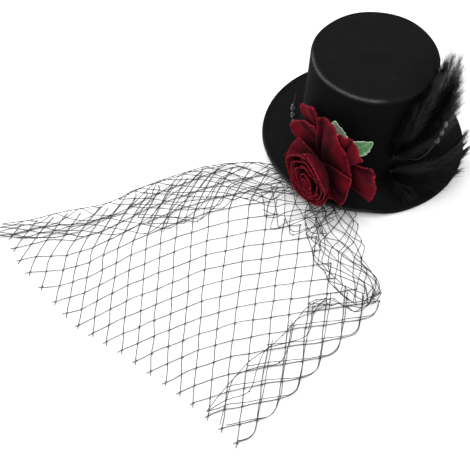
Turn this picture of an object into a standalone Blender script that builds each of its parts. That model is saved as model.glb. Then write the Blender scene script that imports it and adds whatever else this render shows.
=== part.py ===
"""Small moulded felt top hat with a net veil, a velvet rose, leaves, bead sprays and black feathers.

Metres, +Z up. The hat stands on the flat band under its rim, the veil lies on the same ground, and the
origin is under the middle of the whole piece's box. Azimuths are degrees about the hat's axis, from +X.
"""

import math

import bmesh
import bpy
import numpy as np

# Moulded felt hat
BRIM_RADIUS = 0.0650
BRIM_THICKNESS = 0.0022
BRIM_REST_WIDTH = 0.0040
BRIM_RISE = 0.0055
CROWN_BASE_RADIUS = 0.0410
CROWN_TOP_RADIUS = 0.0380
CROWN_HEIGHT = 0.0720
CROWN_WALL = 0.0018
CROWN_EDGE_RADIUS = 0.0024
CROWN_TOP_RISE = 0.0008
BRIM_FILLET_RADIUS = 0.0035
INNER_EDGE_SHARE = 0.25
HAT_SIDES = 48

# Clearances
SEAT_GAP = 0.0003
LAYER_GAP = 0.0004

# Net veil: it falls away from the hat towards FALL_AZIMUTH, and its span lies across that
FALL_AZIMUTH = 244.8
VEIL_REACH = 0.2150
VEIL_SPAN = 0.2000
VEIL_CORD = 0.0016
VEIL_TUCK = 0.0110
VEIL_FLAP_HEIGHT = 0.0030
VEIL_GATHER_HEIGHT = 0.0070
VEIL_GATHER_WIDTH = 0.0480
VEIL_BOW = 0.0090
VEIL_GATHER_FOLDS = 11.0
VEIL_GATHER_LOW = 0.2
VEIL_FOLD_START = 0.10
VEIL_FOLD_END = 0.25
VEIL_COLUMNS = 6
VEIL_ROWS = 6
VEIL_LIFT_MIDDLE = 243.0
VEIL_LIFT_HALF = 34.0
VEIL_LIFT_SHOULDER = 20.0
VEIL_LIFT_FLAP_SHARE = 0.3

# Velvet rose
ROSE_AZIMUTH = 252.3
ROSE_HEIGHT = 0.0220
ROSE_STANDOFF = 0.0057
ROSE_FACING = 230.0
ROSE_RADIUS = 0.0380
PETAL_THICKNESS = 0.0010
PETAL_LAYER = 0.0026
PETAL_ROOT_SPREAD = 0.5
PETAL_CUP = 1.6
BLOOM_RADIUS = 0.0165
BLOOM_DEPTH = 0.0130
BLOOM_CUPS = 3
BLOOM_STEP = 0.0036
BLOOM_WAVE = 0.06
BUD_RADIUS = 0.0068
BUD_DEPTH = 0.0100
BUD_TURNS = 1.9
BUD_START_SHARE = 0.24
POST_RADIUS = 0.0032

# Leaves
LEAF_LENGTH = 0.0210
LEAF_WIDTH = 0.0135
LEAF_THICKNESS = 0.0007
LEAF_TOOTH = 0.12

# Bead sprays
BEAD_RADIUS = 0.0020
BEAD_PITCH = 0.0052
SPRAY_STEM_RADIUS = 0.0006
SPRAY_LEFT_BEADS = 4
SPRAY_RIGHT_BEADS = 3

# Feathers
FEATHER_ROOT_AZIMUTH = 298.0
FEATHER_ROOT_RADIUS = 0.0032
FEATHER_UPPER_ROOT_HEIGHT = 0.0280
FEATHER_LOWER_ROOT_HEIGHT = 0.0150
FEATHER_WIDTH = 0.0140
FEATHER_THICKNESS = 0.0014
FEATHER_REACH = 0.0120
FEATHER_TOP = 0.0830
FEATHER_TURN = 66.0
FEATHER_LAY_HEIGHT = 0.0140
FEATHER_LAYER = 0.0007

# Hair clip
CLIP_LENGTH = 0.0360
CLIP_WIDTH = 0.0060
CLIP_THICKNESS = 0.0016
CLIP_AZIMUTH = 90.0

# Folded edges of the veil, hat to cut edge. Columns: share of the way, then the left fold's fall and span,
# the right fold's fall and span, the left flap's fall and span from its fold, and the right flap's. Falls
# are shares of VEIL_REACH and spans of VEIL_SPAN.
VEIL_SECTIONS = (
    (0.00, 0.240, -0.140, 0.240, 0.120, 0.100, 0.060, 0.100, -0.060),
    (0.14, 0.310, -0.220, 0.330, 0.215, 0.090, 0.090, 0.080, -0.080),
    (0.30, 0.440, -0.360, 0.425, 0.355, 0.100, 0.140, 0.040, -0.100),
    (0.50, 0.570, -0.430, 0.585, 0.357, 0.060, 0.165, 0.000, -0.125),
    (0.75, 0.720, -0.530, 0.800, 0.342, 0.020, 0.130, 0.000, -0.145),
    (1.00, 0.912, -0.640, 1.030, 0.325, 0.015, 0.060, -0.040, -0.160),
)

# Loose petals of the rose. Columns: name, layer counted from the back, share of the roll at the rim, then
# the first corner, the tip and the last corner of the rim. Each of those is a direction seen from outside
# in degrees (0 right, 90 up), and a reach and a distance outward as shares of ROSE_RADIUS.
PETALS = (
    ("rose_petal_1", 0, 0.8, (150.8, 1.05, 0.05), (128.5, 1.11, 0.08), (120.8, 0.89, 0.08)),
    ("rose_petal_2", 0, 0.8, (43.3, 0.90, 0.05), (26.7, 1.01, 0.05), (-12.4, 0.88, 0.05)),
    ("rose_petal_3", 1, 0.6, (86.7, 0.82, 0.11), (68.4, 1.00, 0.11), (45.2, 0.96, 0.12)),
    ("rose_petal_4", 1, 0.8, (187.9, 0.75, 0.16), (165.4, 0.93, 0.16), (122.6, 0.73, 0.15)),
    ("rose_petal_5", 2, 1.0, (114.7, 0.94, 0.17), (84.1, 0.97, 0.17), (23.6, 0.60, 0.21)),
    ("rose_petal_6", 3, 0.8, (27.4, 0.66, 0.26), (-30.0, 0.68, 0.37), (-56.0, 0.56, 0.42)),
    ("rose_petal_7", 3, 0.6, (222.0, 0.78, 0.42), (203.0, 0.87, 0.37), (173.1, 0.64, 0.26)),
)

# Leaves on the crown's wall. Columns: name, direction in degrees, share of length, share of width.
LEAVES = (
    ("leaf_1", 96.0, 0.95, 1.0),
    ("leaf_2", 43.0, 1.05, 1.0),
    ("leaf_3", 142.0, 0.90, 0.8),
)

# Bead sprays: three control points of a stem. Columns: distance from the crown's wall, azimuth in degrees,
# height. The first point's distance is added to the stem's own room.
SPRAY_LEFT = ((0.0, 212.0, 0.024), (0.0120, 206.0, 0.018), (0.0070, 194.0, 0.040))
SPRAY_RIGHT = ((0.0, 312.0, 0.021), (0.0230, 316.0, 0.016), (0.0150, 346.0, 0.036))

# Feather blades. Columns: share of FEATHER_TURN from the root to the tip, tip height as a share of
# FEATHER_TOP, tip's reach from the crown's wall as a share of FEATHER_REACH, share of FEATHER_WIDTH.
UPPER_BLADES = (
    (0.16, 0.72, 0.45, 0.9),
    (0.38, 0.95, 0.55, 1.0),
    (0.62, 0.94, 0.45, 1.0),
    (0.84, 1.00, 0.55, 1.0),
    (0.98, 0.96, 0.95, 1.0),
    (1.00, 0.72, 1.10, 1.0),
    (0.96, 0.50, 1.25, 0.8),
)
LOWER_BLADES = (
    (0.94, 0.24, 1.95, 0.7),
    (0.84, 0.13, 1.95, 0.8),
    (0.58, 0.11, 1.85, 0.9),
    (0.32, 0.11, 1.45, 0.9),
    (0.06, 0.11, 1.00, 0.8),
)

# Base colours are linear red, green and blue.
FINISHES = {
    "felt_black": ((0.0080, 0.0080, 0.0085), 0.95, 0.0),
    "net_black": ((0.0100, 0.0100, 0.0100), 0.70, 0.0),
    "velvet_red": ((0.1900, 0.0060, 0.0130), 0.90, 0.0),
    "calyx_green": ((0.0300, 0.1000, 0.0350), 0.80, 0.0),
    "leaf_green": ((0.1000, 0.3200, 0.1200), 0.70, 0.0),
    "bead_black": ((0.0060, 0.0050, 0.0080), 0.12, 0.0),
    "feather_black": ((0.0050, 0.0050, 0.0055), 0.60, 0.0),
    "clip_steel": ((0.5500, 0.5500, 0.5700), 0.35, 1.0),
}


def clear_scene():
    for obj in list(bpy.data.objects):
        bpy.data.objects.remove(obj, do_unlink=True)


def make_material(name):
    colour, roughness, metallic = FINISHES[name]
    material = bpy.data.materials.new(name)
    material.use_nodes = True
    shader = material.node_tree.nodes["Principled BSDF"]
    shader.inputs["Base Color"].default_value = (*colour, 1.0)
    shader.inputs["Roughness"].default_value = roughness
    shader.inputs["Metallic"].default_value = metallic
    return material


def smooth_step(share):
    share = np.clip(share, 0.0, 1.0)
    return share * share * (3.0 - 2.0 * share)


def polar(radius, azimuth, height):
    """Points at a radius, an azimuth in degrees and a height about the hat's axis."""
    turn = np.radians(azimuth)
    return np.stack(np.broadcast_arrays(radius * np.cos(turn), radius * np.sin(turn), height), -1)


def mesh_object(name, vertices, faces, material, smooth_angle=40.0):
    """An object whose faces point outwards, shaded smooth where its faces meet at a low angle."""
    mesh = bpy.data.meshes.new(name)
    mesh.from_pydata(np.asarray(vertices, float).reshape(-1, 3).tolist(), [], faces)
    shape = bmesh.new()
    shape.from_mesh(mesh)
    bmesh.ops.recalc_face_normals(shape, faces=shape.faces)
    shape.to_mesh(mesh)
    shape.free()
    mesh.shade_smooth()
    mesh.set_sharp_from_angle(angle=math.radians(smooth_angle))
    mesh.materials.append(material)
    obj = bpy.data.objects.new(name, mesh)
    bpy.context.scene.collection.objects.link(obj)
    return obj


def grid_faces(rows, columns, closed=False):
    """Quads between the points of a grid, whose columns run round when it is closed."""
    last = columns if closed else columns - 1
    faces = []
    for row in range(rows - 1):
        for column in range(last):
            beside = (column + 1) % columns
            low, high = row * columns, (row + 1) * columns
            faces.append((low + column, low + beside, high + beside, high + column))
    return faces


def tube_object(name, rings, material):
    """A closed body through rings of points, with a flat cap at each end."""
    count, sides = rings.shape[:2]
    faces = grid_faces(count, sides, closed=True)
    faces.append(tuple(range(sides)))
    faces.append(tuple(range((count - 1) * sides, count * sides)))
    return mesh_object(name, rings, faces, material)


def solidify(obj, thickness):
    wall = obj.modifiers.new("wall", "SOLIDIFY")
    wall.thickness = thickness
    wall.offset = 0.0
    wall.use_even_offset = False


def turned_object(name, profile, sides, material, displace=None):
    """A body turned about Z from a profile whose two ends are on the axis."""
    profile = np.asarray(profile, float)
    azimuth = np.arange(sides) * 360.0 / sides
    rings = polar(profile[1:-1, 0][:, None], azimuth[None, :], profile[1:-1, 1][:, None])
    if displace is not None:
        rings[..., 2] += displace(profile[1:-1, 0][:, None], azimuth[None, :])
    count = len(profile) - 2
    vertices = np.concatenate([rings.reshape(-1, 3), [[0, 0, profile[0, 1]], [0, 0, profile[-1, 1]]]])
    faces = grid_faces(count, sides, closed=True)
    start, end = count * sides, count * sides + 1
    last = (count - 1) * sides
    for side in range(sides):
        following = (side + 1) % sides
        faces.append((start, following, side))
        faces.append((end, last + side, last + following))
    return mesh_object(name, vertices, faces, material)


def arc(centre, radius, start, end, steps):
    """Points along an arc in the profile's plane, with angles in degrees."""
    turns = np.radians(np.linspace(start, end, steps))
    return [(centre[0] + radius * math.cos(t), centre[1] + radius * math.sin(t)) for t in turns]


# Shapes that several pieces share


def crown_radius(height):
    return CROWN_BASE_RADIUS + (CROWN_TOP_RADIUS - CROWN_BASE_RADIUS) * height / CROWN_HEIGHT


def rim_lift(radius, azimuth):
    """How far the brim is lifted where the veil passes under it: none at the crown, all at the rim."""
    away = np.abs((azimuth - VEIL_LIFT_MIDDLE + 180.0) % 360.0 - 180.0)
    sector = smooth_step(1.0 - (away - VEIL_LIFT_HALF) / VEIL_LIFT_SHOULDER)
    outward = smooth_step((radius - CROWN_BASE_RADIUS) / (BRIM_RADIUS - VEIL_TUCK - CROWN_BASE_RADIUS))
    return (VEIL_CORD + VEIL_FLAP_HEIGHT * VEIL_LIFT_FLAP_SHARE + SEAT_GAP) * sector * outward


def brim_under(radius):
    """Height of the brim's underside before any lift: flat under the rim, then rising to the crown."""
    flat_from = BRIM_RADIUS - BRIM_REST_WIDTH
    return BRIM_RISE * np.clip((flat_from - radius) / (flat_from - CROWN_BASE_RADIUS), 0.0, 1.0)


def brim_top(points):
    """Height of the brim's upper face under these points, or below them all outside the rim."""
    radius = np.hypot(points[..., 0], points[..., 1])
    azimuth = np.degrees(np.arctan2(points[..., 1], points[..., 0])) % 360.0
    return brim_under(radius) + BRIM_THICKNESS + rim_lift(radius, azimuth)


# Felt hat


def build_hat(material):
    """Crown and brim are one moulded felt."""
    base_top = BRIM_RISE + BRIM_THICKNESS
    flat_from = BRIM_RADIUS - BRIM_REST_WIDTH
    edge = CROWN_EDGE_RADIUS
    fillet = BRIM_FILLET_RADIUS
    rim = BRIM_THICKNESS * INNER_EDGE_SHARE
    shoulder = CROWN_HEIGHT - edge
    outer = [(0.0, CROWN_HEIGHT + CROWN_TOP_RISE)]
    outer += [(CROWN_TOP_RADIUS * 0.5, CROWN_HEIGHT + CROWN_TOP_RISE * 0.7)]
    outer += arc((CROWN_TOP_RADIUS - edge, shoulder), edge, 90.0, 0.0, 5)
    foot = base_top + fillet
    for height in (foot + (shoulder - foot) * 0.66, foot + (shoulder - foot) * 0.33):
        outer.append((crown_radius(height), height))
    corner = crown_radius(foot) + fillet
    outer += arc((corner, foot), fillet, 180.0, 262.0, 5)
    middle = (corner + flat_from) / 2.0
    outer += [(middle, float(brim_under(middle)) + BRIM_THICKNESS), (flat_from, BRIM_THICKNESS)]
    outer += [(BRIM_RADIUS - rim, BRIM_THICKNESS), (BRIM_RADIUS, BRIM_THICKNESS - rim)]
    outer += [(BRIM_RADIUS, rim)]
    inner_base = CROWN_BASE_RADIUS - CROWN_WALL
    inner_top = CROWN_TOP_RADIUS - CROWN_WALL
    inner = [(BRIM_RADIUS - rim, 0.0), (flat_from, 0.0), (middle, float(brim_under(middle)))]
    inner += [(CROWN_BASE_RADIUS + rim, BRIM_RISE), (inner_base, BRIM_RISE + rim)]
    inner += [(inner_top + rim, shoulder - CROWN_WALL)]
    inner += [(inner_top - edge / 2.0, CROWN_HEIGHT - CROWN_WALL)]
    inner += [(0.0, CROWN_HEIGHT + CROWN_TOP_RISE - CROWN_WALL)]
    return turned_object("felt_hat", outer + inner, HAT_SIDES, material, rim_lift)


# Net veil


def veil_axes():
    turn = math.radians(FALL_AZIMUTH)
    fall = np.array([math.cos(turn), math.sin(turn)])
    return fall, np.array([-fall[1], fall[0]])


def veil_height(points, flap):
    """Height of the net's middle: the gather's folds near the hat, and one layer up on a flap."""
    radius = np.hypot(points[..., 0], points[..., 1])
    azimuth = np.arctan2(points[..., 1], points[..., 0])
    start = BRIM_RADIUS + VEIL_TUCK
    along = np.clip((radius - start) / VEIL_GATHER_WIDTH, 0.0, 1.0)
    swing = 0.5 * (1.0 - VEIL_GATHER_LOW)
    folds = 1.0 - swing + swing * np.sin(VEIL_GATHER_FOLDS * azimuth)
    gather = VEIL_GATHER_HEIGHT * np.sin(math.pi * along) ** 2 * folds
    return VEIL_CORD / 2.0 + gather + VEIL_FLAP_HEIGHT * flap


def veil_point(column, way):
    """A point of the net. Columns -1 to 0 are the left flap, 0 to 1 the panel and 1 to 2 the right flap."""
    table = np.array(VEIL_SECTIONS)
    row = [float(np.interp(way, table[:, 0], table[:, k])) for k in range(1, 9)]
    places = np.array(row).reshape(4, 2) * [VEIL_REACH, VEIL_SPAN]
    left, right, left_flap, right_flap = places
    across = min(max(column, 0.0), 1.0)
    place = left + (right - left) * across
    place[0] += VEIL_BOW * math.sin(math.pi * across) * way
    if column < 0.0:
        place = left + left_flap * -column
    if column > 1.0:
        place = right + right_flap * (column - 1.0)
    fall, span = veil_axes()
    flat = fall * place[0] + span * place[1]
    beside = abs(column - 0.5) - 0.5
    flap = 0.5 if abs(beside) < 1e-6 else float(beside > 0.0)
    if flap == 0.5:
        flap *= float(smooth_step((way - VEIL_FOLD_START) / (VEIL_FOLD_END - VEIL_FOLD_START)))
    if way == 0.0:
        flat *= (BRIM_RADIUS - VEIL_TUCK) / math.hypot(*flat)
    return np.array([flat[0], flat[1], float(veil_height(flat, flap))])


def diamond_net(columns, first, last, start):
    """Diamonds between the knots of a stretch of net, with half diamonds along its edges."""
    rows = VEIL_ROWS - start
    across = np.linspace(first, last, columns + 1)
    along = np.linspace(0.0, 1.0, VEIL_ROWS + 1)[start:]
    knots = {}
    for i in range(columns + 1):
        for j in range(rows + 1):
            knots[(2 * i, 2 * j)] = (across[i], along[j])
    for i in range(columns):
        for j in range(rows):
            middle = ((across[i] + across[i + 1]) / 2.0, (along[j] + along[j + 1]) / 2.0)
            knots[(2 * i + 1, 2 * j + 1)] = middle
    faces = []
    for i in range(columns + 1):
        for j in range(rows):
            side = [(2 * i, 2 * j), (2 * i + 1, 2 * j + 1), (2 * i, 2 * j + 2), (2 * i - 1, 2 * j + 1)]
            faces.append([key for key in side if key in knots])
    for i in range(columns):
        for j in range(rows + 1):
            side = [(2 * i, 2 * j), (2 * i + 1, 2 * j - 1), (2 * i + 2, 2 * j), (2 * i + 1, 2 * j + 1)]
            faces.append([key for key in side if key in knots])
    return knots, faces


def build_veil(material):
    """One piece of net: a panel on the ground, folded over on itself along both sides."""
    vertices = {}
    faces = []
    stretches = ((1, -1.0, 0.0, 1), (VEIL_COLUMNS, 0.0, 1.0, 0), (1, 1.0, 2.0, 1))
    for columns, first, last, start in stretches:
        knots, cells = diamond_net(columns, first, last, start)
        places = {key: (round(column, 6), round(way, 6)) for key, (column, way) in knots.items()}
        for place in places.values():
            vertices.setdefault(place, len(vertices))
        faces += [[vertices[places[key]] for key in cell] for cell in cells]
    points = [veil_point(*place) for place in vertices]
    obj = mesh_object("net_veil", points, faces, material)
    cord = obj.modifiers.new("cords", "WIREFRAME")
    cord.thickness = VEIL_CORD
    cord.use_even_offset = False
    cord.use_boundary = True
    cord.use_replace = True
    return obj


# Velvet rose


def rose_axes():
    turn = math.radians(ROSE_FACING)
    outward = np.array([math.cos(turn), math.sin(turn), 0.0])
    right = np.array([-outward[1], outward[0], 0.0])
    centre = polar(crown_radius(ROSE_HEIGHT) + ROSE_STANDOFF, ROSE_AZIMUTH, ROSE_HEIGHT)
    return centre, right, outward


def rose_world(right_way, up, out):
    """World points from places to the right, up and outward of the rose's root."""
    centre, right, outward = rose_axes()
    points = centre + right_way[..., None] * right + out[..., None] * outward
    points[..., 2] = centre[2] + up
    return points


def calyx_radius(out):
    """Radius of the rose's root at a distance outward: a ball first, then the post."""
    ball = ROSE_STANDOFF - SEAT_GAP
    return max(POST_RADIUS, math.sqrt(max(ball * ball - out * out, 0.0)))


def above_brim(points, layer):
    """Points that would reach the brim lie on it instead, a layer apart."""
    floor = brim_top(points) + LAYER_GAP + PETAL_THICKNESS * (1.0 + layer * 1.5)
    points[..., 2] = np.maximum(points[..., 2], floor)
    return points


def build_petal(name, layer, roll, first, tip, last, material):
    """A petal that fans out from the root to a pointed rim, cups forward and rolls back at the rim."""
    share = np.linspace(0.0, 1.0, 8)[:, None]
    across = np.linspace(-1.0, 1.0, 7)[None, :]
    corners = np.array([first, tip, last])
    rim = [np.interp(across, [-1.0, 0.0, 1.0], corners[:, k]) for k in range(3)]
    middle = (first[0] + last[0]) / 2.0
    spread = 1.0 + PETAL_ROOT_SPREAD * (1.0 - share) ** 2
    turn = np.radians(middle + (rim[0] - middle) * spread)
    start = layer * PETAL_LAYER + PETAL_THICKNESS
    root = calyx_radius(start - PETAL_THICKNESS / 2.0) + SEAT_GAP
    round_off = 1.0 - 0.06 * (2.0 * np.abs(np.abs(across) - 0.5)) ** 2
    reach = root + (rim[1] * ROSE_RADIUS * round_off - root) * share
    room = PETAL_LAYER - PETAL_THICKNESS - LAYER_GAP
    edge = smooth_step((np.maximum(share, np.abs(across) * np.sqrt(share)) - 0.6) / 0.4)
    out = start + (rim[2] * ROSE_RADIUS - start) * share ** PETAL_CUP - roll * room * edge
    points = rose_world(reach * np.cos(turn), reach * np.sin(turn), out)
    obj = mesh_object(name, above_brim(points, layer), grid_faces(8, 7), material)
    solidify(obj, PETAL_THICKNESS)


def build_cup(name, radius, depth, start, lobes, material):
    """A ring of tight petals: a cup with a lobed rim."""
    sides = 28
    along = np.linspace(0.0, 1.0, 6)[:, None]
    turn = np.arange(sides)[None, :] * 2.0 * math.pi / sides
    root = POST_RADIUS + PETAL_THICKNESS / 2.0 + SEAT_GAP
    wave = BLOOM_WAVE * along * np.cos(lobes * turn)
    reach = root + (radius - root) * np.sin(along * math.pi / 2.0) ** 0.8 * (1.0 + wave)
    out = start + depth * along ** 1.4 * (1.0 + wave * 1.5)
    points = rose_world(reach * np.cos(turn), reach * np.sin(turn), out)
    obj = mesh_object(name, points, grid_faces(6, sides, closed=True), material)
    solidify(obj, PETAL_THICKNESS)


def build_bud(start, material):
    """The rolled heart of the rose: one strip wound into a spiral that opens outwards."""
    steps = 30
    share = np.linspace(0.0, 1.0, steps)[:, None]
    along = np.linspace(0.0, 1.0, 4)[None, :]
    turn = share * 2.0 * math.pi * BUD_TURNS + 0.0 * along
    reach = BUD_RADIUS * (BUD_START_SHARE + (1.0 - BUD_START_SHARE) * share) * (0.80 + 0.20 * along)
    out = start + BUD_DEPTH * along * (1.0 - 0.12 * share)
    points = rose_world(reach * np.cos(turn), reach * np.sin(turn), out)
    obj = mesh_object("rose_bud", points, grid_faces(steps, 4), material)
    solidify(obj, PETAL_THICKNESS)


def build_calyx(length, material):
    """The rose's root: a ball against the crown, and the post that the petals are threaded on."""
    ball = ROSE_STANDOFF - SEAT_GAP
    neck = math.degrees(math.acos(POST_RADIUS / ball))
    profile = arc((0.0, 0.0), ball, -90.0, neck, 8)
    profile[0] = (0.0, -ball)
    profile += [(POST_RADIUS, length), (0.0, length)]
    obj = turned_object("rose_calyx", profile, 16, material)
    centre = rose_axes()[0]
    obj.rotation_euler = (math.pi / 2.0, 0.0, math.radians(ROSE_FACING) + math.pi / 2.0)
    obj.location = centre.tolist()


def build_rose(velvet, green):
    for name, layer, roll, first, tip, last in PETALS:
        build_petal(name, layer, roll, first, tip, last, velvet)
    layers = max(row[1] for row in PETALS) + 1
    start = layers * PETAL_LAYER + PETAL_THICKNESS
    depth = BLOOM_DEPTH
    for cup in range(BLOOM_CUPS):
        name = f"rose_bloom_{cup + 1}"
        build_cup(name, BLOOM_RADIUS - cup * BLOOM_STEP, depth, start, 3 + cup, velvet)
        start += PETAL_THICKNESS * 2.0 + LAYER_GAP
        depth -= PETAL_THICKNESS * 1.5
    build_calyx(start - LAYER_GAP, green)
    build_bud(start, velvet)


# Leaves


def build_leaf(name, direction, length, width, material):
    """A toothed leaf that stands against the crown's wall behind the rose."""
    rows, columns = 11, 5
    along = np.linspace(0.0, 1.0, rows)[:, None]
    across = np.linspace(-1.0, 1.0, columns)[None, :]
    tooth = 1.0 - LEAF_TOOTH * (-1.0) ** np.arange(rows)[:, None] * np.abs(across)
    breadth = width * LEAF_WIDTH / 2.0 * (0.10 + 0.90 * np.sin(math.pi * along ** 1.2)) * tooth
    reach = ROSE_STANDOFF + LEAF_THICKNESS + length * LEAF_LENGTH * along
    turn = math.radians(direction)
    right = reach * math.cos(turn) - across * breadth * math.sin(turn)
    height = ROSE_HEIGHT + reach * math.sin(turn) + across * breadth * math.cos(turn)
    wall = crown_radius(height)
    vein = SEAT_GAP + LEAF_THICKNESS * (0.5 + 0.35 * np.abs(across))
    points = polar(wall + vein, ROSE_AZIMUTH + np.degrees(right / wall), height)
    obj = mesh_object(name, points, grid_faces(rows, columns), material)
    solidify(obj, LEAF_THICKNESS)


# Bead sprays


def curve_points(control, count):
    """Points along a quadratic curve through the three control points' hull."""
    share = np.linspace(0.0, 1.0, count)[:, None]
    a, b, c = (np.asarray(point, float) for point in control)
    return a * (1.0 - share) ** 2 + 2.0 * b * share * (1.0 - share) + c * share ** 2


def round_rings(path, radii, sides):
    """Rings of points round a path, each with its own radius."""
    tangent = np.gradient(path, axis=0)
    tangent /= np.linalg.norm(tangent, axis=1)[:, None]
    side = np.cross(tangent, [0.13, 0.21, 1.0])
    side /= np.linalg.norm(side, axis=1)[:, None]
    other = np.cross(tangent, side)
    turn = np.arange(sides) * 2.0 * math.pi / sides
    spoke = side[:, None] * np.cos(turn)[None, :, None] + other[:, None] * np.sin(turn)[None, :, None]
    return path[:, None] + spoke * radii[:, None, None]


def build_spray(name, control, beads, material):
    """A wired stem from its glued root to its tip, with a row of beads at the end."""
    stand = SEAT_GAP + SPRAY_STEM_RADIUS
    corners = []
    for place, (away, azimuth, height) in enumerate(control):
        away += stand if place == 0 else 0.0
        corners.append(polar(crown_radius(height) + away, azimuth, height))
    path = curve_points(corners, 200)
    steps = np.concatenate([[0.0], np.cumsum(np.linalg.norm(np.diff(path, axis=0), axis=1))])
    row = beads * BEAD_PITCH
    stations = [(place, SPRAY_STEM_RADIUS) for place in np.linspace(0.0, steps[-1] - row, 6)[:-1]]
    for centre in steps[-1] - row + BEAD_PITCH * (np.arange(beads) + 0.5):
        for share in (-0.95, -0.60, 0.0, 0.60, 0.95):
            stations.append((centre + BEAD_RADIUS * share, BEAD_RADIUS * math.sqrt(1.0 - share * share)))
    stations = np.array(stations)
    where = np.stack([np.interp(stations[:, 0], steps, path[:, k]) for k in range(3)], -1)
    tube_object(name, round_rings(where, stations[:, 1], 10), material)


# Feathers


def blade_rings(root_height, layer, turn, tip_height, reach, width):
    """Flat rings of a feather blade that bends round the crown's wall from its root to its tip."""
    share = np.linspace(0.0, 1.0, 10)
    azimuth = FEATHER_ROOT_AZIMUTH + turn * FEATHER_TURN * share
    rise = tip_height * FEATHER_TOP - root_height
    height = root_height + rise * share ** 1.15
    stand = SEAT_GAP + FEATHER_ROOT_RADIUS
    out = stand + (reach * FEATHER_REACH - stand) * share
    out = np.maximum(out, FEATHER_THICKNESS * 2.0)
    path = polar(crown_radius(np.minimum(height, CROWN_HEIGHT)) + out, azimuth, height)
    rest = brim_top(path) + LAYER_GAP + FEATHER_THICKNESS * 2.0 + FEATHER_LAYER * layer
    path[:, 2] = np.maximum(path[:, 2], rest)
    tangent = np.gradient(path, axis=0)
    tangent /= np.linalg.norm(tangent, axis=1)[:, None]
    lean = smooth_step(1.0 - (path[:, 2] - rest) / FEATHER_LAY_HEIGHT)[:, None]
    spread = polar(1.0, azimuth, 0.0) * (1.0 - lean) + np.array([0.0, 0.0, 1.0]) * lean
    edge = np.cross(tangent, spread)
    edge /= np.linalg.norm(edge, axis=1)[:, None]
    normal = np.cross(edge, tangent)
    opening = 0.25 + 0.75 * smooth_step(share / 0.45)
    half = width * FEATHER_WIDTH / 2.0 * opening * (1.0 - 0.70 * share ** 4)
    half[0] = FEATHER_THICKNESS
    thick = FEATHER_THICKNESS / 2.0 * (1.0 - 0.4 * share)
    corners = ((-1.0, 0.0), (0.0, -1.0), (1.0, 0.0), (0.0, 1.0))
    rings = [path + edge * (a * half)[:, None] + normal * (b * thick)[:, None] for a, b in corners]
    return np.stack(rings, 1)


def build_feathers(name, root_height, blades, material):
    """A bunch of feather blades, each fused to the same bound root."""
    away = crown_radius(root_height) + SEAT_GAP + FEATHER_ROOT_RADIUS
    centre = polar(away, FEATHER_ROOT_AZIMUTH, root_height)
    profile = arc((0.0, 0.0), FEATHER_ROOT_RADIUS, -90.0, 90.0, 7)
    profile[0] = (0.0, -FEATHER_ROOT_RADIUS)
    profile[-1] = (0.0, FEATHER_ROOT_RADIUS)
    root = turned_object(name, profile, 12, material)
    for vertex in root.data.vertices:
        vertex.co = [vertex.co[k] + float(centre[k]) for k in range(3)]
    for number, (turn, tip_height, reach, width) in enumerate(blades):
        rings = blade_rings(root_height, number, turn, tip_height, reach, width)
        blade = tube_object(f"{name}_cutter_{number + 1}", rings, material)
        blade.hide_render = True
        blade.display_type = "WIRE"
        joint = root.modifiers.new(f"blade_{number + 1}", "BOOLEAN")
        joint.operation = "UNION"
        joint.object = blade


# Hair clip


def build_clip(material):
    """A plain flat clip, glued under the brim where it rises towards the crown."""
    radius = CROWN_BASE_RADIUS + CLIP_WIDTH / 2.0 + SEAT_GAP
    farthest = math.hypot(radius + CLIP_WIDTH / 2.0, CLIP_LENGTH / 2.0)
    top = float(brim_under(farthest)) - SEAT_GAP
    outline = []
    for end in (1.0, -1.0):
        middle = end * (CLIP_LENGTH - CLIP_WIDTH) / 2.0
        for x, y in arc((0.0, 0.0), CLIP_WIDTH / 2.0, -90.0, 90.0, 7):
            outline.append((middle + end * x, end * y))
    azimuth = math.radians(CLIP_AZIMUTH)
    rings = np.zeros((2, len(outline), 3))
    for level, height in enumerate((top - CLIP_THICKNESS, top)):
        for corner, (along, across) in enumerate(outline):
            reach = radius + across
            rings[level, corner] = (
                reach * math.cos(azimuth) - along * math.sin(azimuth),
                reach * math.sin(azimuth) + along * math.cos(azimuth),
                height,
            )
    tube_object("hair_clip", rings, material)


def stand_on_origin(pieces):
    """Moves everything so that the origin is under the middle of the whole box."""
    bpy.context.view_layer.update()
    graph = bpy.context.evaluated_depsgraph_get()
    corners = []
    for obj in pieces:
        shape = obj.evaluated_get(graph)
        mesh = shape.to_mesh()
        points = np.empty(len(mesh.vertices) * 3, np.float32)
        mesh.vertices.foreach_get("co", points)
        world = np.array(shape.matrix_world)
        points = points.reshape(-1, 3) @ world[:3, :3].T + world[:3, 3]
        corners += [points.min(0), points.max(0)]
        shape.to_mesh_clear()
    low, high = np.min(corners, 0), np.max(corners, 0)
    frame = bpy.data.objects.new("fascinator", None)
    bpy.context.scene.collection.objects.link(frame)
    for obj in bpy.data.objects:
        if obj.type == "MESH":
            obj.parent = frame
    frame.location = (-(low[0] + high[0]) / 2.0, -(low[1] + high[1]) / 2.0, -low[2])


def main():
    clear_scene()
    finish = {name: make_material(name) for name in FINISHES}
    build_hat(finish["felt_black"])
    build_veil(finish["net_black"])
    build_rose(finish["velvet_red"], finish["calyx_green"])
    for name, direction, length, width in LEAVES:
        build_leaf(name, direction, length, width, finish["leaf_green"])
    build_spray("bead_spray_left", SPRAY_LEFT, SPRAY_LEFT_BEADS, finish["bead_black"])
    build_spray("bead_spray_right", SPRAY_RIGHT, SPRAY_RIGHT_BEADS, finish["bead_black"])
    feather = finish["feather_black"]
    build_feathers("feathers_upper", FEATHER_UPPER_ROOT_HEIGHT, UPPER_BLADES, feather)
    build_feathers("feathers_lower", FEATHER_LOWER_ROOT_HEIGHT, LOWER_BLADES, feather)
    build_clip(finish["clip_steel"])
    stand_on_origin([obj for obj in bpy.data.objects if obj.type == "MESH" and not obj.hide_render])


main()
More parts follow.
